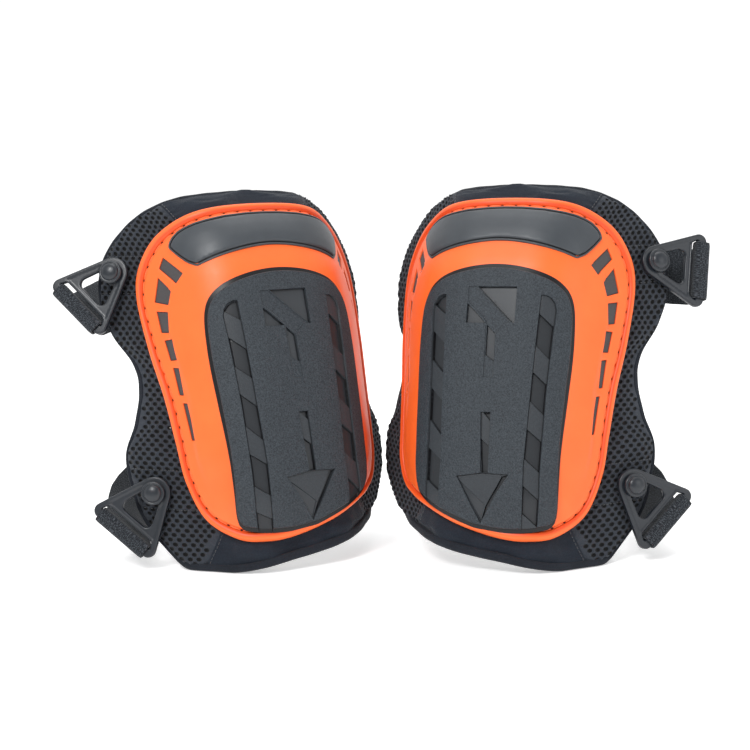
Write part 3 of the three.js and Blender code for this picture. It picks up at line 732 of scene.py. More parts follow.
def cap_piece(side):
    """The orange shell, pierced by its windows."""
    rings = [0, 0.1, 0.4, 0.9, 1.6, 2.4, 3.2, 4.0, 4.8, 5.5, 6.0, 6.3, 6.55, 6.8, 7.05, 7.3, 7.6, 8.2, 9]
    loops = [ring_points(cap_radius, 0, 480)]
    points = [ring_points(cap_radius, d, 480) for d in rings[1:]]
    a = np.arange(240) * 1.5
    for k in np.linspace(0, 1, 22)[1:]:
        points.append(at_polar(a, mix(cap_radius(a) - 9, tread_radius(a) - 3, k)))
    a = np.arange(60) * 6
    points.extend(at_polar(a, tread_radius(a) * k) for k in (0.8, 0.5, 0.2))
    windows = window_loops(1) + window_loops(-1)
    for loop in windows:
        loops.extend([loop, offset(loop, 0.12), offset(loop, WINDOW_BEVEL)])
    points = np.vstack(points)

    def hole_at(s, t):
        return np.array([inside_by(loop, s, t) for loop in windows]).max(axis=0)

    points = points[hole_at(*points.T) < -0.3]
    v, f, _ = triangulate(loops, points, lambda s, t: (
        (radius_of(s, t) < cap_radius(angle_of(s, t)) + 0.01) & (hole_at(s, t) < WINDOW_BEVEL - 0.001)
    ))
    s, t = v.T
    hole = np.clip(hole_at(s, t) / WINDOW_BEVEL, 0, 1)
    top = cap_top(s, t) - 0.3 * hole**2
    d = cap_radius(angle_of(s, t)) - radius_of(s, t)
    low = mix(0.1, crown_top(s, t) - SHELL_THICK, smooth((d - 3) / 6))
    pts, faces = slab_from(v, f, top, low)
    # Painted shade: dark red in the stitched groove, on the inner side of the rolled bead and on the window
    # bevels.
    groove = np.exp(-(((d - GROOVE_AT) / 0.5) ** 2)) + 0.7 * np.exp(-(((d - 5.0) / 1.1) ** 2))
    painted_shade_and_finish = np.concatenate([groove + 0.35 * hole, np.zeros(len(v))])
    put_mesh(
        side, "cap_shell", pts, faces, "pad", ["cap"], "orange", painted_shade_and_finish, np.vstack([v, v]), 50,
    )


def insert_piece(side, name, sign):
    """The strip behind one row of windows, a small block in each."""
    points, faces, count = [], [], 0
    for window in window_loops(sign):
        loop = offset(window, INLAY_GAP)
        inner = offset(loop, 0.3)
        middle = offset(loop, 1.2)
        v, f, _ = triangulate([loop, inner], middle[inside_by(loop, *middle.T) > 0.6],
                              lambda s, t, loop=loop: inside_by(loop, s, t) > 0)
        s, t = v.T
        d = inside_by(loop, s, t)
        top = cap_top(s, t) - INLAY_SINK - INLAY_BEVEL * (1 - np.clip(d / INLAY_BEVEL, 0, 1))
        p, faced = slab_from(v, f, top, crown_top(s, t) - SHELL_THICK - 2)
        points.append(p)
        faces.extend(tuple(i + count for i in face) for face in faced)
        count += len(p)
    put_mesh(
        side, f"{name}_inlays", np.vstack(points), faces, "pad", [f"{name}_insert"], "inlay",
    )


def brow_outline():
    lower = [(s, 206.2 - 12.4 * (s / 45.4) ** 2) for s in np.linspace(-44.5, 44.5, 31)]
    half = [(63.2, 207.2), (62.3, 210.5), (59.5, 214.6), (54.5, 218.9), (48.8, 222), (42, 224.8),
            (35.5, 226.6), (24.4, 229), (11.4, 230.4)]
    side = [(50.5, 196.8), (57, 201.5)]
    upper = half + [(0, 230.7)] + mirrored(half[::-1])
    return rounded(lower + side + upper + mirrored(side[::-1]), 1.5, 3)


def brow_piece(side):
    """The crescent above the tread: a bead round it, a groove painted dark as shade and a raised middle."""
    loop = split(brow_outline(), 1.5)
    grid = even_grid((-64, 64), (190, 232), 1.6)
    grid = grid[inside_by(loop, grid[:, 0], grid[:, 1]) > 3.3]
    v, f, _ = triangulate(
        [loop] + [offset(loop, d) for d in BROW_LEVELS[1:]], grid,
        lambda s, t: inside_by(loop, s, t) > 0,
    )
    s, t = v.T
    d = inside_by(loop, s, t)
    lift = np.interp(d, BROW_LEVELS + [BROW_MIDDLE[0]], BROW_LIFTS + [BROW_MIDDLE[1]])
    base = crown_top(s, t)
    pts, faces = slab_from(v, f, base + lift, base - 0.5)
    # Painted shade: the groove inside the bead is tinted near black.
    painted_shade_and_finish = np.concatenate([np.interp(d, [1.0, 1.35, 1.9, 2.2], [0, 1, 1, 0]), np.zeros(len(v))])
    put_mesh(
        side, "brow_panel", pts, faces, "pad", ["brow_plate"], "brow", painted_shade_and_finish, np.vstack([v, v]), 60,
    )


# The tread's moulded pattern, in the left pad's s. The same moulding is used on both pads.
CHANNEL_IN = [(171, 27), (149, 26.2), (121, 25.4), (100, 24.8), (67, 23.7), (42, 24), (14, 24)]
CHANNEL_OUT = [(160, 35), (149, 34.2), (110, 32.6), (61, 31.7), (32, 32.2), (14, 32.4)]
OUTER_CUTS = [(164.9, 157.4), (147.6, 139.7), (128.9, 121), (111.7, 103.8), (91.5, 82.3),
              (74.4, 67.6), (54.3, 48.1), (38.6, 33.9)]
INNER_CUTS = [(159.4, 151), (139.3, 130.4), (123.2, 115.3), (105.1, 96.2), (88.1, 80.7),
              (70, 61.7), (54, 45.6), (37, 29)]
WALL = 0.3
BAR_DEPTH, POCKET_DEPTH = 1.1, 1.6


def channel_edge(table, t):
    ts, ss = zip(*table[::-1])
    return np.interp(t, ts, ss)


def channel_outline(sign):
    inner = [(channel_edge(CHANNEL_IN, t), t) for t in (14, 42, 67, 100, 121, 149, 171)]
    corner = [(29.6, 170.7), (32, 169), (34, 165.6), (34.9, 161)]
    outer = [(channel_edge(CHANNEL_OUT, t), t) for t in (155, 149, 130, 110, 85, 61, 32, 14)]
    return [(sign * s, t) for s, t in inner + corner + outer]


def channel_cell(sign, top, foot):
    """A pocket between two slanted cuts, each (t at its higher-s end, t at its lower-s end)."""
    (far1, near1), (far0, near0) = (top, foot) if sign > 0 else (top[::-1], foot[::-1])
    inner = [mix(near0, near1, k) for k in (0, 0.5, 1)]
    outer = [mix(far0, far1, k) for k in (1, 0.5, 0)]
    cell = [(channel_edge(CHANNEL_IN, t) + WALL, t) for t in inner]
    cell += [(channel_edge(CHANNEL_OUT, t) - WALL, t) for t in outer]
    return [(sign * s, t) for s, t in cell]


def tread_features():
    """(outline, depth) of every recess; depths add up where recesses lie in each other."""
    found = [(channel_outline(1), BAR_DEPTH), (channel_outline(-1), BAR_DEPTH)]
    top_pocket = [(27.4, 170.4), (27, 158), (34.6, 164.4), (33.6, 165.4), (31.7, 168.5), (29.4, 170.2)]
    found.append((top_pocket, POCKET_DEPTH))
    for i in range(1, 8, 2):
        foot = OUTER_CUTS[i + 1] if i + 1 < len(OUTER_CUTS) else (8, 4)
        found.append((channel_cell(1, OUTER_CUTS[i], foot), POCKET_DEPTH))
    for i in range(0, 8, 2):
        top, foot = INNER_CUTS[i], INNER_CUTS[i + 1]
        found.append((channel_cell(-1, top, foot), POCKET_DEPTH))
    found += [
        ([(9.6, 176), (-15, 176), (-15, 153), (-14.2, 153)], 2.2),
        ([(15, 165.4), (2.8, 153), (15, 153)], 2.2),
        ([(14.4, 176), (15, 176), (15, 166.6), (3, 154.6), (2.6, 153), (2, 119), (-4.5, 119),
          (-4.3, 147), (-10.6, 153), (-13.6, 153.6), (10.4, 176)], 0.45),
        ([(1.8, 152), (-3.7, 146.6), (-4.1, 129), (1.6, 133)], 1.7),
        ([(2, 98), (-4.5, 98), (-4.9, 60.9), (-0.2, 60.9)], BAR_DEPTH),
        ([(0.6, 97.7), (-4.2, 97.7), (-4.2, 92.5)], POCKET_DEPTH),
        ([(1.2, 82), (-4.3, 77.4), (-4.6, 61.2), (-0.9, 61.2)], POCKET_DEPTH),
        ([(14.8, 58.5), (-0.2, 60.9), (-4.9, 60.9), (-17, 60.4), (-0.5, 30.2)], BAR_DEPTH),
        ([(-10.2, 52.6), (-13.2, 59.4), (-16.3, 60), (-0.8, 31.6), (-3.8, 41)], POCKET_DEPTH),
        ([(13.6, 56.2), (-3.4, 42), (-0.6, 31.8)], 0.6),
    ]
    return found


def tread_piece(side):
    """The wear plate with its moulded recesses; their floors are smoother, and painted shade darkens their
    corners, the deepest pockets and the plate's side wall.
    """
    flip = 1 if side == "left" else -1
    features = [([(flip * s, t) for s, t in poly], depth) for poly, depth in tread_features()]
    loops = [ring_points(tread_radius, d, 300) for d in TREAD_LEVELS]
    for poly, _ in features:
        loop = split(poly, 1.8)
        loops.extend([loop, offset(loop, WALL), offset(loop, WALL + 0.5)])
    rows = np.arange(22, 190, 1.5)
    across = np.arange(-44, 45, 1.7)
    grid = np.array([(s + 0.85 * (i % 2), t) for i, t in enumerate(rows) for s in across])
    d = tread_radius(angle_of(*grid.T)) - radius_of(*grid.T)
    grid = grid[d > 1.2]
    v, f, _ = triangulate(
        loops, grid,
        lambda s, t: radius_of(s, t) < tread_radius(angle_of(s, t)) - TREAD_LEVELS[0] + 0.01,
    )
    s, t = v.T
    d = tread_radius(angle_of(s, t)) - radius_of(s, t)
    recess, corner = np.zeros(len(v)), np.zeros(len(v))
    for poly, depth in features:
        inside = inside_by(poly, s, t)
        recess += depth * np.clip(inside / WALL, 0, 1)
        corner = np.maximum(corner, min(depth, 1) * np.interp(inside, [0.05, WALL, WALL + 0.5], [0, 1, 0]))
    shoulder = np.interp(d, TREAD_LEVELS, TREAD_FALLS)
    top = tread_top(s, t) + np.minimum(shoulder, -recess)
    low = tread_top(s, t) - TREAD_SLAB
    pts, faces = slab_from(v, f, np.maximum(top, low + 0.05), low)
    # Painted shade: near black on the side wall, along the recess edges and in the deepest pockets; the 0.6
    # share marks the smoother recess floors.
    floor = 0.6 * np.clip((recess - 0.6) / 0.7, 0, 1) + 0.13 * np.clip((recess - 2.3) / 0.3, 0, 1)
    painted_shade_and_finish = np.maximum.reduce([floor, np.interp(d, [-0.1, 0.25], [1, 0]), 0.95 * corner])
    painted_shade_and_finish = np.concatenate([painted_shade_and_finish, np.zeros(len(v))])
    put_mesh(
        side, "tread", pts, faces, "pad", ["tread_plate"], "tread", painted_shade_and_finish, np.vstack([v, v]), 28,
    )


# ---------------------------------------------------------------- fabric and padding
STUD_SPOTS = [(LEVELS["upper"][0], LEVELS["upper"][1]), (LEVELS["lower"][0], LEVELS["lower"][1])]
BAND_SEAMS = (38, 63, 178, 203)
ALL_SEAMS = (*TOP_SEAMS, *BOTTOM_SEAMS)
COLS, FRONT_ROWS, BACK_ROWS = 150, 12, 24
UNDER_RIM, PAST_EDGE = 6, 2
CLOTH_FRAMES, CLOTH_PRESSURE = 20, 5
FRONT_SWELL, BACK_SWELL = 2.6, 5.0
SEAM_PINCH, BAND_PINCH, RIM_PINCH = 0.9, 0.8, 0.7
SIDE_ROLL, FOOT_ROLL, ROLL_FROM, ROLL_SPAN = 7.0, 4.0, 6, 8.5
STUD_HOLD = 17
PUCKER = 0.25
HEM_BACK, HEM_OUT = -9.9, 4.0
HEM_FRONT, HEM_IN = (-3.6, 0.7), (0.7, -1.6)
PANEL_ROWS = 46
GEL_SHARE = 0.62


def wrapped(angle, at):
    """The turn from at to angle, between -180 and 180 degrees."""
    return (np.asarray(angle) - at + 180) % 360 - 180


def bottomness(angle):
    """1 along the foot of the pad, where the hem shows in front, and 0 elsewhere."""
    a = wrapped(angle, 0)
    return smooth((-a - 50) / 8) * smooth((a + 132) / 10)


def front_height(s, t):
    """The fabric's face: flat under the rim, rolled back at the edge, pinched along its seams."""
    a, r = angle_of(s, t), radius_of(s, t)
    inner, outer = cap_radius(a), fabric_radius(a)
    at_foot = bottomness(a)
    x = np.clip((ROLL_FROM - (outer - r)) / ROLL_SPAN, 0, 1)
    h = -mix(SIDE_ROLL, FOOT_ROLL, at_foot) * (1 - np.sqrt(1 - x * x))
    h -= RIM_PINCH * np.exp(-np.clip(r - inner, 0, 50) / 2.5)
    for seam in ALL_SEAMS:
        h -= SEAM_PINCH * np.exp(-((np.radians(wrapped(a, seam)) * r) ** 2))
    out = (s > 0) * smooth((r - inner) / 3)
    for at in BAND_SEAMS:
        h -= BAND_PINCH * out * np.exp(-(((t - at) / 0.9) ** 2))
    return h


def stud_mask(s, t):
    """0 under the studs, where the fabric is held down, and 1 away from them."""
    keep = np.ones(np.broadcast(s, t).shape)
    for stud_s, stud_t in STUD_SPOTS:
        keep = keep * (1 - np.exp(-(((s - stud_s) ** 2 + (t - stud_t) ** 2) / STUD_HOLD**2) ** 2))
    return np.where(np.asarray(s) > 0, keep, 1)


def envelope():
    """The closed cloth body of one pad: its points, quads and triangles, and how firmly each is pinned."""
    a = np.arange(COLS) * 360 / COLS
    rows, pins = [], []

    def row(r, height, pin):
        st = at_polar(a, r)
        s, t = st.T
        rows.append(skin(s, t, height(s, t) if callable(height) else height))
        pins.append(np.broadcast_to(pin, COLS))

    seam_pin = np.zeros(COLS)
    for seam in ALL_SEAMS:
        seam_pin = np.maximum(seam_pin, np.exp(-((wrapped(a, seam) / 2.0) ** 2)))
    start, end = cap_radius(a) - UNDER_RIM, fabric_radius(a) + PAST_EDGE
    for k in (0.3, 0.65):
        row(start * k, -6.0, 1)
    for i in range(FRONT_ROWS + 1):
        f = i / FRONT_ROWS
        row(mix(start, end, f), front_height, 1 if i in (0, 1, FRONT_ROWS) else seam_pin)
    row(end + 0.3, -7.2, 1)
    for i in range(BACK_ROWS):
        k = 1 - i / BACK_ROWS
        r = (fabric_radius(a) + 0.5) * k
        near_rim = np.exp(-(((r - (cap_radius(a) - 4)) / 2.5) ** 2))
        near_gel = np.exp(-(((r - GEL_SHARE * cap_radius(a)) / 2.5) ** 2))
        quilt = np.maximum(near_rim, near_gel)
        row(r, lining_back, 1 if i == 0 else quilt)
    points = [skin(0, CENTRE_T, -6.0)[None]] + rows + [skin(0, CENTRE_T, -MIDDLE_DEPTH)[None]]
    pin = np.concatenate([[1.0]] + pins + [[0.0]])
    faces, count = [], len(rows)
    for i in range(COLS):
        j = (i + 1) % COLS
        faces.append((0, 1 + i, 1 + j))
        for k in range(count - 1):
            p, q = 1 + k * COLS, 1 + (k + 1) * COLS
            faces.append((p + i, q + i, q + j, p + j))
        last = 1 + (count - 1) * COLS
        faces.append((last + i, last + COLS, last + j))
    return np.vstack(points), faces, pin


def simulate(points, faces, pin):
    """Inflates the envelope with Blender's cloth and gives back its points."""
    me = bpy.data.meshes.new("envelope")
    me.from_pydata([tuple(p / 1000) for p in points], [], faces)
    ob = bpy.data.objects.new("envelope", me)
    scene = bpy.context.scene
    show(ob)
    group = ob.vertex_groups.new(name="pin")
    for i, weight in enumerate(pin):
        if weight > 0.02:
            group.add([i], float(weight), "REPLACE")
    cloth = ob.modifiers.new("cloth", "CLOTH")
    settings = cloth.settings
    settings.quality = 6
    settings.mass = 0.15
    settings.tension_stiffness = settings.compression_stiffness = 12
    settings.shear_stiffness = 4
    settings.bending_stiffness = 0.4
    settings.vertex_group_mass = "pin"
    settings.use_pressure = True
    settings.uniform_pressure_force = CLOTH_PRESSURE
    settings.shrink_min = -0.05
    settings.effector_weights.gravity = 0
    cloth.collision_settings.use_collision = False
    cloth.point_cache.frame_end = CLOTH_FRAMES
    for number in range(1, CLOTH_FRAMES + 1):
        scene.frame_set(number)
    made = ob.evaluated_get(bpy.context.evaluated_depsgraph_get()).to_mesh()
    out = np.zeros(len(made.vertices) * 3)
    made.vertices.foreach_get("co", out)
    scene.frame_set(1)
    bpy.data.objects.remove(ob)
    bpy.data.meshes.remove(me)
    return out.reshape(-1, 3) * 1000


def moves():
    """How far the padding pushes the cloth: tables of moves for the front rows and the back rows."""
    points, faces, pin = envelope()
    after = simulate(points, faces, pin)
    d = (after - points)[1:-1].reshape(-1, COLS, 3)
    front, back = d[2:3 + FRONT_ROWS], d[4 + FRONT_ROWS:]
    d_mid = (after - points)[-1]
    back = np.concatenate([back, np.broadcast_to(d_mid, (1, COLS, 3))])
    tables = []
    for table, cap in ((front, FRONT_SWELL), (back, BACK_SWELL)):
        table = (np.roll(table, 1, 1) + 2 * table + np.roll(table, -1, 1)) / 4
        size = np.linalg.norm(table, axis=-1, keepdims=True)
        tables.append(table * (cap * np.tanh(size / cap) / np.maximum(size, 1e-9)))
    return tables


def looked_up(table, angle, f):
    """A table's value at an angle and a share f of the way down its rows."""
    u = (np.asarray(angle) % 360) / 360 * COLS
    v = np.clip(f, 0, 1) * (len(table) - 1)
    i, j = np.floor(u).astype(int), np.minimum(np.floor(v).astype(int), len(table) - 2)
    wu, wv = (u - i)[..., None], (v - j)[..., None]
    i0, i1 = i % COLS, (i + 1) % COLS
    low = mix(table[j, i0], table[j, i1], wu)
    high = mix(table[j + 1, i0], table[j + 1, i1], wu)
    return mix(low, high, wv)


FRONT_MOVES, BACK_MOVES = moves()


def fabric_skin(s, t, lift=0.0):
    """Pad-frame points of the fabric's face, with the padding's swell."""
    s, t = np.asarray(s, float), np.asarray(t, float)
    a, r = angle_of(s, t), radius_of(s, t)
    start, end = cap_radius(a) - UNDER_RIM, fabric_radius(a) + PAST_EDGE
    move = looked_up(FRONT_MOVES, a, (r - start) / (end - start))
    soft = PUCKER * np.sin(s / 7.1 + t / 11.3) * np.sin(t / 8.7 - s / 13.7)
    soft = soft * smooth((r - start) / 10)
    return skin(s, t, front_height(s, t) + lift + soft) + move * stud_mask(s, t)[..., None]


def wing_region(first, last, inset=0.0):
    """A test for being inside a wing, by at least inset."""
    def test(s, t):
        a, r = angle_of(s, t), radius_of(s, t)
        arc = inset / np.maximum(r, 1) * 180 / math.pi
        along = (a - first) % 360
        inside = (along > arc) & (along < (last - first) - arc)
        low = r > cap_radius(a) - UNDER_RIM + 1 + inset
        return inside & low & (r < fabric_radius(a) + PAST_EDGE - inset)
    return test


def wing_outline(first, last):
    a = np.linspace(first, last, 140)
    outer = at_polar(a, fabric_radius(a) + PAST_EDGE)
    inner = at_polar(a[::-1], cap_radius(a[::-1]) - UNDER_RIM + 1)
    return split(np.vstack([outer, inner]), 1.4)


def hole_lattice(side_sign):
    """Centres and half sizes of the mesh's holes: staggered rows, wider and lower further down."""
    out = []
    t, row = 2.0, 0
    while t < 256:
        k = smooth((t - 90) / 90)
        pitch_s, pitch_t = mix(5.9, 4.9, k), mix(2.95, 3.35, k)
        for i in range(-12, 13):
            s = 92 + (i + 0.5 * (row % 2)) * pitch_s
            out.append((side_sign * s, t, 0.325 * pitch_s, 0.46 * pitch_t, pitch_s, pitch_t))
        t += pitch_t
        row += 1
    return out


def wing_piece(side, name, first, last):
    """A side panel of spacer mesh between two seams, with a pit for every hole of its knit."""
    sign = 1 if name == "outer" else -1
    inside = wing_region(first, last, 1.0)
    turn = np.arange(10) * 36 + 18
    ring = np.stack([np.cos(np.radians(turn)), np.sin(np.radians(turn))], axis=1)
    # facts holds (lift, shade) for each point; the pits sink, and their shade value paints them near black as
    # painted shade.
    loops, loose, facts = [wing_outline(first, last)], [], []
    facts.extend([(0.0, 0.0)] * len(loops[0]))
    for s, t, a, b, pitch_s, pitch_t in hole_lattice(sign):
        for ks, kt in ((0.5, 0), (0.25, 0.5)):
            knot = (s + ks * pitch_s, t + kt * pitch_t)
            if inside(*map(np.array, knot)):
                loose.append((*knot, 0.28 if kt == 0 else 0.12, 0.0))
        rim = np.array([s, t]) + ring * [a, b]
        if not inside(rim[:, 0], rim[:, 1]).all():
            continue
        loops.append(rim)
        facts.extend([(-0.15, 0.15)] * len(rim))
        inner = np.array([s, t]) + ring * [a * 0.9, b * 0.9]
        loops.append(inner)
        facts.extend([(-0.7, 1.0)] * len(inner))
        loose.append((s, t, -1.1, 1.0))
    loose = np.array(loose)
    facts.extend(map(tuple, loose[:, 2:]))
    v, f, origin = triangulate(loops, loose[:, :2], wing_region(first, last))
    facts = np.array(facts)[np.maximum(origin, 0)]
    facts[origin < 0] = 0
    pts = fabric_skin(v[:, 0], v[:, 1], facts[:, 0])
    ob = put_mesh(
        side, f"{name}_mesh_wing", pts, f, "pad", [f"{name}_wing"], "mesh",
        facts[:, 1], v, 180,
    )


def panel_piece(side, name, first, last, cols):
    """A plain fabric panel between two seams, as a grid with its edges turned under."""
    a, k = np.meshgrid(np.linspace(first, last, cols), np.linspace(0, 1, PANEL_ROWS), indexing="ij")
    r = mix(cap_radius(a) - UNDER_RIM + 1, fabric_radius(a) + PAST_EDGE, k)
    st = at_polar(a, r)
    s, t = st[..., 0].ravel(), st[..., 1].ravel()
    pts = fabric_skin(s, t, 0.12)
    faces = [
        (p + j, p + j + 1, p + PANEL_ROWS + j + 1, p + PANEL_ROWS + j)
        for p in range(0, (cols - 1) * PANEL_ROWS, PANEL_ROWS) for j in range(PANEL_ROWS - 1)
    ]
    ob = put_mesh(
        side, f"{name}_cloth_panel", pts, faces, "pad", [f"{name}_panel"], "plain",
        None, np.stack([s, t], -1), 180,
    )


def lining_piece(side):
    """The leg-side cloth, quilted round the cap and round the gel."""
    cols, rows = 300, 72
    a, k = np.meshgrid(np.arange(cols) * 360 / cols, np.linspace(0, 1, rows), indexing="ij")
    r = (fabric_radius(a) + 0.5) * np.where(k < 1, 1 - k * 0.985, 0.015)
    st = at_polar(a, r)
    s, t = st[..., 0], st[..., 1]
    move = looked_up(BACK_MOVES, a, k * 0.985)
    rim = np.exp(-(((r - (cap_radius(a) - 4)) / 1.3) ** 2))
    gel = np.exp(-(((r - GEL_SHARE * cap_radius(a)) / 1.3) ** 2))
    groove = 1.6 * np.maximum(rim, gel) * smooth(k * 30)
    outer = skin(s, t, lining_back(s, t) + groove) + move
    inner = skin(s, t, lining_back(s, t) + 1.9 + groove) + move * 0.3
    points = np.vstack([outer.reshape(-1, 3), inner.reshape(-1, 3)])
    count, faces = cols * rows, two_skins(cols, rows)
    for p in range(0, count, rows):
        q = (p + rows) % count
        faces.append((p, q, q + count, p + count))
    hub = [i * rows + rows - 1 for i in range(cols)]
    faces.append(tuple(hub))
    faces.append(tuple(i + count for i in hub[::-1]))
    uv = np.vstack([st.reshape(-1, 2)] * 2)
    ob = put_mesh(
        side, "inner_lining", points, faces, "pad", ["lining"], "lining", None, uv, 180,
    )


def binding_piece(side):
    """The folded tape round the edge. Along the foot it comes forward as a hem."""
    cols = 540
    a = np.arange(cols) * 360 / cols
    foot = bottomness(a)
    front, inner = mix(*HEM_FRONT, foot), mix(*HEM_IN, foot)
    profile = [(0, 0.06), (0, 0.5), (0, 0.94), (0.12, 1), (0.4, 0.97), (0.62, 1.0), (0.88, 0.97),
               (1, 0.88), (0.97, 0.6), (1, 0.3), (0.95, 0.08), (0.8, 0), (0.4, 0), (0.1, 0)]
    points, uv = [], []
    for n, (kr, kh) in enumerate(profile):
        r = fabric_radius(a) + mix(inner, HEM_OUT, kr)
        st = at_polar(a, r)
        ripple = 0.12 * np.sin(np.radians(a) * 47) * kr
        points.append(skin(st[:, 0], st[:, 1], mix(HEM_BACK, front, kh) + ripple))
        uv.append(np.stack([np.radians(a) * 110, np.full(cols, n * 1.4)], -1))
    n = len(profile)
    faces = []
    for j in range(n):
        p, q = j * cols, ((j + 1) % n) * cols
        for i in range(cols):
            k = (i + 1) % cols
            faces.append((q + i, q + k, p + k, p + i))
    put_mesh(
        side, "hem_binding", np.vstack(points), faces, "pad", ["edge_binding"], "binding",
        None, np.vstack(uv), 180,
    )


def core_piece(side, name, node, inner, outer, low, high, material):
    """A hidden slab of padding: a smooth disc, or a ring where inner isn't 0."""
    cols, rows = 120, 8
    a, k = np.meshgrid(np.arange(cols) * 360 / cols, np.linspace(0, 1, rows), indexing="ij")
    r = mix(inner(a), outer(a), k)
    st = at_polar(a, r)
    s, t = st[..., 0].ravel(), st[..., 1].ravel()
    top, under = high(s, t), low(s, t)
    edge = np.tile(np.linspace(0, 1, rows), cols)
    pinch = 0.25 * (top - under) * smooth((edge - 0.8) / 0.2)
    points = np.vstack([skin(s, t, top - pinch), skin(s, t, under + pinch)])
    count, faces = cols * rows, two_skins(cols, rows)
    for p in range(0, count, rows):
        q, last = (p + rows) % count, rows - 1
        faces.append((p + last, p + last + count, q + last + count, q + last))
        faces.append((q, q + count, p + count, p))
    ob = put_mesh(side, name, points, faces, "pad", [node], material, None, None, 60)


def padding(side):
    gel_front = -(MIDDLE_DEPTH - LINING_THICK - INNER_GAP - GEL_THICK)
    core_piece(
        side, "knee_foam", "foam_core", lambda a: 0 * a + 1, lambda a: cap_radius(a) - 8.5,
        lambda s, t: s * 0 + gel_front + INNER_GAP, lambda s, t: crown_top(s, t) - SHELL_THICK - INNER_GAP,
        "foam",
    )
    core_piece(
        side, "gel_cushion", "gel_pad", lambda a: 0 * a + 1, lambda a: 0.6 * cap_radius(a),
        lambda s, t: s * 0 + gel_front - GEL_THICK, lambda s, t: s * 0 + gel_front,
        "gel",
    )
    core_piece(
        side, "edge_foam", "wing_foam", lambda a: cap_radius(a) - 4, lambda a: fabric_radius(a) - 4,
        lambda s, t: lining_back(s, t) + LINING_THICK + GAP, lambda s, t: s * 0 - 3.3,
        "foam",
    )


# ---------------------------------------------------------------- clips, studs and straps
def turned(v, axis, degrees):
    a = math.radians(degrees)
    return v * math.cos(a) + np.cross(axis, v) * math.sin(a) + axis * np.dot(axis, v) * (1 - math.cos(a))


class Local:
    """A clip's own frame on the pad: z along the stud and x towards the strap's bar."""

    def __init__(self, side, level, flat=False):
        s, t = LEVELS[level][:2]
        along, up, n = directions(s, t)
        flare, hang = (0, 0) if flat else STANCE[(side, level)]
        self.z = turned(n, up, -flare)
        self.x = turned(turned(along, up, -flare), self.z, -hang)
        self.y = np.cross(self.z, self.x)
        self.o = skin(s, t, 0.0)

    def at(self, points):
        p = np.asarray(points, float)
        return self.o + p[..., :1] * self.x + p[..., 1:2] * self.y + p[..., 2:] * self.z


def lathe(profile, count=56):
    """A turned closed body about z from an (r, z) profile that starts and ends on the axis."""
    points, faces = [(0, 0, profile[0][1])], []
    for r, z in profile[1:-1]:
        for i in range(count):
            a = 2 * math.pi * i / count
            points.append((r * math.cos(a), r * math.sin(a), z))
    points.append((0, 0, profile[-1][1]))
    rings = len(profile) - 2
    for i in range(count):
        j = (i + 1) % count
        faces.append((0, 1 + j, 1 + i))
        for k in range(rings - 1):
            p, q = 1 + k * count, 1 + (k + 1) * count
            faces.append((p + i, p + j, q + j, q + i))
        p = 1 + (rings - 1) * count
        faces.append((p + i, p + j, len(points) - 1))
    return np.array(points), faces


def stud_piece(side, level):
    """The mushroom-headed post that a clip hooks over."""
    under = CLIP_HEIGHT + CLIP_THICK / 2 + STUD_CLEARANCE
    post, head = STUD_POST, STUD_HEAD
    profile = [(0, STUD_FOOT), (post - 0.3, STUD_FOOT), (post, STUD_FOOT + 0.3), (post, under), (5.6, under),
               (head - 0.5, under + 0.05), (head - 0.12, under + 0.3), (head, under + 0.8),
               (head - 0.06, under + 1.25), (head - 0.35, under + 1.75), (head - 0.8, under + 2.0),
               (head - 1.2, under + 2.05), (head - 1.5, under + 1.9), (head - 1.75, under + 1.85),
               (head - 2.0, under + 2.0)]
    dome = head - 2.0
    for k in range(1, 9):
        a = k / 9 * math.pi / 2
        profile.append((dome * math.cos(a), under + 2.0 + (STUD_HEIGHT - 2.0) * math.sin(a)))
    profile.append((0, under + STUD_HEIGHT))
    points, faces = lathe(profile)
    put_mesh(
        side, f"{level}_mushroom_stud", Local(side, level).at(points), faces, f"{level}_stud",
        [f"{level}_stud"], "clip", None, None, 50,
    )


def washer_piece(side, level):
    """The flange under a stud, sewn into the pad."""
    profile = [(0, 0.42), (6.6, 0.42), (6.95, 0.5), (7.0, 0.7), (6.9, 1.0), (6.5, 1.18), (5.6, 1.2),
               (5.2, 0.95), (4.7, 0.95), (4.4, 1.2), (0, 1.2)]
    points, faces = lathe(profile, 48)
    put_mesh(
        side, f"{level}_flange", Local(side, level, flat=True).at(points), faces, "pad",
        [f"{level}_stud_washer"], "clip", None, None, 40,
    )


def arc(cx, cy, r, start, end, steps):
    a = np.linspace(start, end, steps)
    return [(cx + r * math.cos(k), cy + r * math.sin(k)) for k in a]


def clip_outlines():
    lean = math.atan2(CLIP_HALF - CLIP_APEX, CLIP_LENGTH - CLIP_CORNER)
    half_turn = math.pi / 2
    x, y, r = CLIP_LENGTH - CLIP_CORNER, CLIP_HALF - CLIP_CORNER, CLIP_CORNER
    outline = arc(0, 0, CLIP_APEX, half_turn + lean, 3 * half_turn - lean, 25)
    outline += arc(x, -y, r, 3 * half_turn - lean, 4 * half_turn, 7)
    outline += arc(x, y, r, 0, half_turn + lean, 7)
    x, y, r = HOLE_TO - HOLE_CORNER, HOLE_HALF - HOLE_CORNER / 2, HOLE_CORNER
    hole = arc(0, 0, HOLE_APEX, half_turn + lean, 3 * half_turn - lean, 17)
    hole += arc(x, -y, r, 3 * half_turn - lean, 4 * half_turn, 9)
    hole += arc(x, y, r, 0, half_turn + lean, 9)
    short = SLOT_HALF - 2.5
    slot = [(SLOT_FROM, -short), (SLOT_TO, -SLOT_HALF), (SLOT_TO, SLOT_HALF), (SLOT_FROM, short)]
    return np.array(outline), np.array(hole), rounded(slot, 1.2, 3)


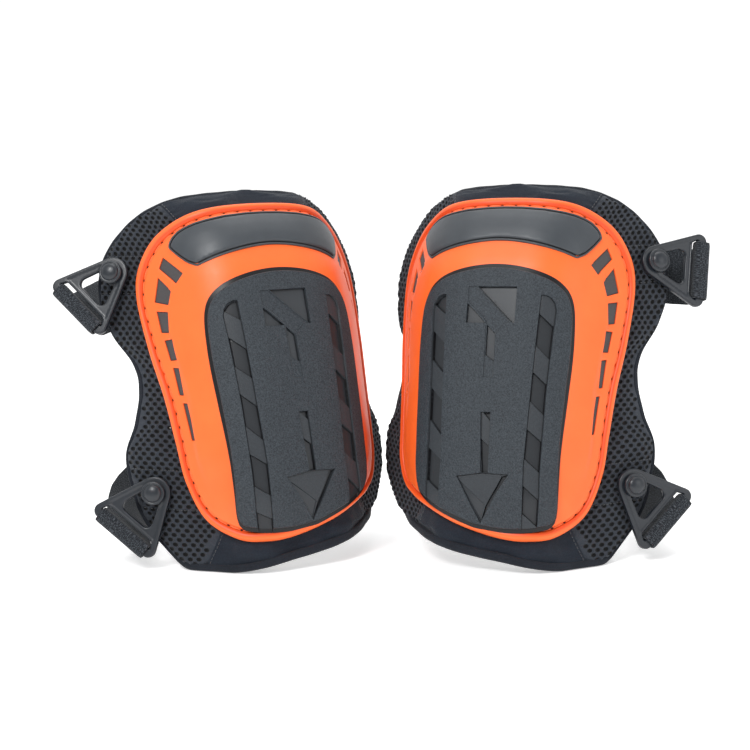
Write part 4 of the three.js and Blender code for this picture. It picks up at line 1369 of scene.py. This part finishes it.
def clip_piece(side, level):
    """A flat triangular clip with filleted edges, a sunk face and a boss round its eye."""
    outline, hole, slot = clip_outlines()
    outline, hole, slot = split(outline, 1.4), split(hole, 1.4), split(slot, 1.4)
    steps = [0.12, 0.35, 0.7, 1.0]
    loops = [outline, hole, slot]
    loops += [offset(outline, d) for d in steps + [2.3, 2.9]]
    loops += [offset(shape, -d) for shape in (hole, slot) for d in steps]
    grid = even_grid((-11, 41), (-24.2, 24.5), 1.1)

    def depth(x, y):
        edges = [inside_by(outline, x, y), -inside_by(hole, x, y), -inside_by(slot, x, y)]
        return np.minimum.reduce(edges)

    grid = grid[(depth(*grid.T) > 1.2) & (np.abs(inside_by(outline, *grid.T) - 2.6) > 0.6)]
    v, f, _ = triangulate(loops, grid, lambda x, y: depth(x, y) > 0)
    x, y = v.T
    d = np.clip(depth(x, y), 0, None)
    fillet = 0.9 * (1 - np.sqrt(np.clip(1 - np.clip(1 - d, 0, 1) ** 2, 0, 1)))
    recess = 0.45 * smooth((inside_by(outline, x, y) - 2.3) / 0.6) * (x < SLOT_FROM - 1)
    boss = 0.5 * smooth((9.2 - np.hypot(x, y)) / 0.5)
    top = CLIP_HEIGHT + CLIP_THICK / 2 - fillet - np.maximum(recess - boss, 0)
    low = CLIP_HEIGHT - CLIP_THICK / 2 + fillet
    points = np.vstack([np.stack([x, y, top], -1), np.stack([x, y, low], -1)])
    put_mesh(
        side, f"{level}_release_clip", Local(side, level).at(points), closed(f, len(v)), f"{level}_clip",
        [f"{level}_clip"], "clip", None, None, 45,
    )


def ring_path(x0, x1, z0, z1, r, steps=6):
    """A rounded rectangle in a clip's x and z, anticlockwise."""
    out = []
    corners = [(x1 - r, z1 - r, 0), (x0 + r, z1 - r, 90), (x0 + r, z0 + r, 180), (x1 - r, z0 + r, 270)]
    for cx, cz, start in corners:
        for k in range(steps + 1):
            a = math.radians(start + 90 * k / steps)
            out.append((cx + r * math.cos(a), cz + r * math.sin(a)))
    return split(np.array(out), 1.2)


def loop_piece(side, level):
    """The strap's end, sewn round the clip's bar."""
    x0, x1, half = SLOT_TO - 0.6, CLIP_LENGTH + 0.6, CLIP_THICK / 2 + 0.6
    inner = ring_path(x0, x1, -half, half, 1.2)
    middle = inner.mean(axis=0)
    across = np.linspace(-1, 1, 41)
    points, uv = [], []
    run = run_along(inner)
    for layer in (STRAP_THICK, 0.0):
        loop = offset(inner, -layer) if layer else inner
        for k in across:
            edge = 0.3 * smooth((abs(k) - 0.9) / 0.1) * (1 if layer else -1)
            wave = 0.12 * math.sin(9 * k)
            ring = middle + (loop - middle) * (1 - edge / 6)
            y = np.full(len(ring), k * STRAP_WIDTH / 2)
            points.append(np.stack([ring[:, 0], y, CLIP_HEIGHT + ring[:, 1] + wave * 0.4], -1))
            uv.append(np.stack([y, run], -1))
    n, m = len(inner), len(across)
    faces = []
    for j in range(m - 1):
        for i in range(n):
            p, q = j * n, (j + 1) * n
            k = (i + 1) % n
            faces.append((p + i, q + i, q + k, p + k))
            p, q = (m + j) * n, (m + j + 1) * n
            faces.append((p + i, p + k, q + k, q + i))
    for i in range(n):
        k = (i + 1) % n
        faces.append((i, k, m * n + k, m * n + i))
        last, under = (m - 1) * n, (2 * m - 1) * n
        faces.append((last + i, under + i, under + k, last + k))
    put_mesh(
        side, f"{level}_webbing_loop", Local(side, level).at(np.vstack(points)), faces, f"{level}_clip",
        [f"{level}_strap_loop"], "webbing", None, np.vstack(uv), 60,
    )


def catmull(points, count):
    """Evenly spaced points on a centripetal spline through points, and the spline's length."""
    p = np.array(points, float)
    p = np.vstack([2 * p[0] - p[1], p, 2 * p[-1] - p[-2]])
    dense = []
    for i in range(1, len(p) - 2):
        a, b, c, d = p[i - 1:i + 3]
        t1, t2, t3 = (max(np.linalg.norm(v - u), 1e-6) ** 0.5 for u, v in ((a, b), (b, c), (c, d)))
        m1 = ((b - a) / t1 - (c - a) / (t1 + t2) + (c - b) / t2) * t2
        m2 = ((c - b) / t2 - (d - b) / (t2 + t3) + (d - c) / t3) * t2
        w = np.arange(60)[:, None] / 60
        dense.append(hermite(w, b, c, m1, m2))
    dense = np.vstack(dense + [p[-2][None]])
    run = run_along(dense)
    at = np.linspace(0, run[-1], count)
    return np.stack([np.interp(at, run, dense[:, k]) for k in range(3)], -1), run[-1]


def strap_piece(side, level):
    """The elastic band, from the inner wing's tab round behind the leg to the clip's loop."""
    s, t, tab_s, strap_t = LEVELS[level]
    lean, z = np.interp(strap_t, T_AT, T_Y), np.interp(strap_t, T_AT, T_Z)
    tab = float(lining_back(tab_s, strap_t)) - INNER_GAP - 2
    here = Local(side, level)
    under = CLIP_HEIGHT - CLIP_THICK / 2 - 0.6 - STRAP_THICK - 0.7
    way = [skin(tab_s, strap_t, tab - 2.4), skin(tab_s, strap_t, tab - 10)]
    end = here.at([CLIP_LENGTH, 0, under])
    falls = np.linspace(0, BAND_FALL, len(BAND_WAY))
    way += [np.array([x, lean + y, mix(z, end[2], k)]) for (x, y), k in zip(BAND_WAY, falls)]
    way += [here.at([CLIP_LENGTH - 1, 0, under - 9]), end]
    count = 150
    path, length = catmull(way, count)
    u = np.linspace(0, 1, count)[:, None]
    width = mix(directions(tab_s, strap_t)[1], np.array([0, 0, 1.0]), smooth(u / 0.3))
    width = unit(mix(width, here.y, smooth((u - 0.45) / 0.5)))
    along = unit(np.gradient(path, axis=0))
    n = unit(np.cross(along, width))
    ring = 2 * STRAP_COLS
    across = np.concatenate([np.linspace(-1, 1, STRAP_COLS), np.linspace(1, -1, STRAP_COLS)])
    half = STRAP_THICK / 2
    face = np.repeat([1.0, -1.0], STRAP_COLS)
    thin = 1 - 0.65 * smooth((np.abs(across) - 0.9) / 0.1)
    points, uv = [], []
    for i in range(count):
        ripple = 0.05 * math.sin(i * 2.1)
        q = path[i] + across[:, None] * width[i] * STRAP_WIDTH / 2 * (1 + 0.004 * math.sin(i * 0.9))
        points.append(q + (face * thin * (half + ripple * 0.5))[:, None] * n[i])
        uv.append(np.stack([across * STRAP_WIDTH / 2, np.full(ring, i * length / count)], -1))
    faces = [
        (p + k, p + ring + k, p + ring + (k + 1) % ring, p + (k + 1) % ring)
        for p in range(0, (count - 1) * ring, ring) for k in range(ring)
    ]
    faces.append(tuple(range(ring)))
    faces.append(tuple(range(count * ring - 1, (count - 1) * ring - 1, -1)))
    ob = put_mesh(
        side, f"{level}_elastic_strap", np.vstack(points), faces, None, [f"{level}_strap"],
        "webbing", None, np.vstack(uv), 60,
    )
    start, end = (tuple(to_world(path[i], SIDES[side])) for i in (int(count * 0.78), count - 1))
    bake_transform(ob)


def anchor_piece(side, level):
    """The sewn tab on the leg side of the inner wing, where the band starts."""
    tab_s, strap_t = LEVELS[level][2:]
    half_s, half_t = 8, STRAP_WIDTH / 2 - 2
    cols, rows = 22, 44
    u, v = np.meshgrid(np.linspace(-1, 1, cols), np.linspace(-1, 1, rows), indexing="ij")
    s, t = tab_s + u * half_s, strap_t + v * half_t
    edge = np.maximum(smooth((np.abs(u) - 0.85) / 0.15), smooth((np.abs(v) - 0.93) / 0.07))
    high = lining_back(s, t) - INNER_GAP - 0.5 * edge
    low = lining_back(s, t) - INNER_GAP - 2 + 0.5 * edge
    points = np.vstack([skin(s, t, high).reshape(-1, 3), skin(s, t, low).reshape(-1, 3)])
    tris = []
    for i in range(cols - 1):
        for j in range(rows - 1):
            p = i * rows + j
            tris.extend([(p, p + rows, p + rows + 1), (p, p + rows + 1, p + 1)])
    uv = np.stack([t.ravel(), s.ravel()], -1)
    put_mesh(
        side, f"{level}_sewn_tab", points, closed(np.array(tris), cols * rows), "pad",
        [f"{level}_strap_anchor"], "webbing", None, np.vstack([uv, uv]), 60,
    )


# ---------------------------------------------------------------- stitching
def stitch_piece(side, name, runs, radius, material):
    """One short thread, with dipping ends, for each (middle, along, up) in runs."""
    points, faces = [], []
    profile = [(-1.0, 0.35, -0.5), (-0.8, 0.8, -0.1), (-0.35, 1.0, 0.25), (0.35, 1.0, 0.25), (0.8, 0.8, -0.1),
               (1.0, 0.35, -0.5)]
    around = 8
    for middle, along, up in runs:
        over = unit(np.cross(along, up))
        base = len(points)
        for k, fat, rise in profile:
            for i in range(around):
                a = 2 * math.pi * i / around
                ring = radius * fat * (math.cos(a) * over + math.sin(a) * up)
                points.append(middle + along * k / 2 + up * rise * radius + ring)
        for j in range(len(profile) - 1):
            for i in range(around):
                p, q = base + j * around, base + (j + 1) * around
                k = (i + 1) % around
                faces.append((p + i, q + i, q + k, p + k))
        faces.append(tuple(base + i for i in range(around)))
        last = base + (len(profile) - 1) * around
        faces.append(tuple(last + i for i in range(around - 1, -1, -1)))
    put_mesh(side, name, np.array(points), faces, "pad", [], material, None, None, 180)


def run_of_stitches(path, ups, pitch, share, shift=0.0):
    """(middle, along, up) of the stitches on a path, each share of the pitch long."""
    run = run_along(path)
    count = int(run[-1] / pitch)
    pitch = run[-1] / count
    out = []
    for i in range(count):
        a, b = (i + shift + (1 - share) / 2) * pitch, (i + shift + (1 + share) / 2) * pitch
        if b > run[-1]:
            break
        ends = [np.array([np.interp(x, run, path[:, k]) for k in range(3)]) for x in (a, b)]
        up = unit(np.array([np.interp((a + b) / 2, run, ups[:, k]) for k in range(3)]))
        out.append(((ends[0] + ends[1]) / 2, ends[1] - ends[0], up))
    return out


def cap_stitches(side):
    a = np.linspace(0, 360, 721)
    st = at_polar(a, cap_radius(a) - GROOVE_AT)
    s, t = st.T
    path = skin(s, t, cap_top(s, t) + 0.95)
    runs = run_of_stitches(path, normals(s, t), RIM_PITCH, 0.84)
    stitch_piece(side, "rim_stitches", runs, RIM_THREAD, "thread_orange")
    # Dark dots sunk at the stitch ends are painted shade for the needle holes.
    path = skin(s, t, cap_top(s, t) + 0.5)
    runs = run_of_stitches(path, normals(s, t), RIM_PITCH, 0.15, 0.5)
    stitch_piece(side, "rim_stitch_hole_shade", runs, STITCH_HOLE_SHADE, "stitch_hole_shade")


def fabric_stitches(side):
    runs = []
    for at in BAND_SEAMS:
        s = np.arange(60, 125, 1.0)
        r, a = radius_of(s, at), angle_of(s, at)
        s = s[(r > cap_radius(a) + 1) & (r < fabric_radius(a) - 1)]
        if len(s) < 4:
            continue
        t = np.full(len(s), float(at))
        runs += run_of_stitches(fabric_skin(s, t, 0.2), normals(s, t), SEAM_PITCH, 0.7)
    for seam in ALL_SEAMS:
        shift = 1.8 if seam in (TOP_SEAMS[0], BOTTOM_SEAMS[0]) else -1.8
        k = np.linspace(0, 1, 40)
        r = mix(cap_radius(seam) + 1.5, fabric_radius(seam) - 0.5, k)
        st = at_polar(seam + np.degrees(shift / r), r)
        runs += run_of_stitches(fabric_skin(st[:, 0], st[:, 1], 0.25), normals(*st.T), SEAM_PITCH, 0.7)
    stitch_piece(side, "seam_stitches", runs, SEAM_THREAD, "thread_dark")


def tab_stitches(side, level):
    tab_s, strap_t = LEVELS[level][2:]
    runs = []
    corners = [(-5.5, -14), (5.5, -14), (5.5, 14), (-5.5, 14)]
    lines = [(corners[i], corners[(i + 1) % 4]) for i in range(4)]
    lines += [(corners[0], corners[2]), (corners[1], corners[3])]
    for a, b in lines:
        k = np.linspace(0, 1, 20)
        s, t = tab_s + mix(a[0], b[0], k), strap_t + mix(a[1], b[1], k)
        path = skin(s, t, lining_back(s, t) - INNER_GAP - 2.1)
        runs += run_of_stitches(path, -normals(s, t), TAB_PITCH, 0.7)
    stitch_piece(side, f"{level}_tab_stitches", runs, TAB_THREAD, "thread_dark")


# ---------------------------------------------------------------- the pair
def pad(side):
    cap_piece(side)
    insert_piece(side, "outer", 1)
    insert_piece(side, "inner", -1)
    brow_piece(side)
    tread_piece(side)
    cap_stitches(side)
    wing_piece(side, "outer", BOTTOM_SEAMS[1], TOP_SEAMS[0])
    wing_piece(side, "inner", TOP_SEAMS[1], BOTTOM_SEAMS[0] + 360)
    panel_piece(side, "top", *TOP_SEAMS, 110)
    panel_piece(side, "bottom", *BOTTOM_SEAMS, 130)
    lining_piece(side)
    binding_piece(side)
    padding(side)
    fabric_stitches(side)
    for level in LEVELS:
        washer_piece(side, level)
        stud_piece(side, level)
        clip_piece(side, level)
        loop_piece(side, level)
        strap_piece(side, level)
        anchor_piece(side, level)
        tab_stitches(side, level)


# ---------------------------------------------------------------- camera, floor and light
def camera():
    turn, rise, roll = (math.radians(angle) for angle in (CAMERA_TURN, CAMERA_RISE, CAMERA_ROLL))
    back = Vector((math.sin(turn) * math.cos(rise), -math.cos(turn) * math.cos(rise), math.sin(rise)))
    right = Vector((0, 0, 1)).cross(back).normalized()
    up = back.cross(right)
    tilted = right * math.cos(roll) + up * math.sin(roll)
    turn_matrix = Matrix((tilted, back.cross(tilted), back)).transposed().to_4x4()
    data = bpy.data.cameras.new("camera")
    data.lens, data.sensor_width = 80, 36
    ob = bpy.data.objects.new("camera", data)
    ob.matrix_world = Matrix.Translation(Vector(CAMERA_AIM) + back * CAMERA_AWAY) @ turn_matrix
    show(ob)
    bpy.context.scene.camera = ob


def floor():
    me = bpy.data.meshes.new("floor")
    n = 64
    turns = [2 * math.pi * i / n for i in range(n)]
    ring = [(FLOOR_RADIUS * math.cos(a), FLOOR_RADIUS * math.sin(a), -0.0004) for a in turns]
    me.from_pydata(ring, [], [tuple(range(n))])
    ob = bpy.data.objects.new("floor", me)
    show(ob)
    m = Nodes("floor", (0.9, 0.9, 0.9), 0.9, Emission_Color=(1, 1, 1, 1), Emission_Strength=FLOOR_GLOW)
    me.materials.append(m.material)


def area(name, place, size, power):
    """A square lamp turned towards the pads."""
    data = bpy.data.lights.new(name, "AREA")
    data.energy, data.size = power, size
    ob = bpy.data.objects.new(name, data)
    ob.location = place
    ob.rotation_euler = (Vector(LAMP_AIM) - Vector(place)).to_track_quat("-Z", "Y").to_euler()
    show(ob)


def lights():
    world = bpy.data.worlds.new("studio")
    world.use_nodes = True
    nodes, links = world.node_tree.nodes, world.node_tree.links
    way = nodes.new("ShaderNodeSeparateXYZ")
    glow = nodes.new("ShaderNodeMapRange")
    for key, value in zip(("From Min", "From Max", "To Min", "To Max"), (-0.5, 0.25, FRONT_GLOW, BACK_GLOW)):
        glow.inputs[key].default_value = value
    links.new(nodes.new("ShaderNodeTexCoord").outputs["Generated"], way.inputs[0])
    links.new(way.outputs["Y"], glow.inputs["Value"])
    links.new(glow.outputs["Result"], nodes["Background"].inputs["Strength"])
    nodes["Background"].inputs["Color"].default_value = (1, 1, 1, 1)
    bpy.context.scene.world = world
    for name, lamp in LAMPS.items():
        area(name, *lamp)


camera()
for each in SIDES:
    pad(each)
floor()
lights()
bpy.context.scene.view_settings.view_transform = "Standard"
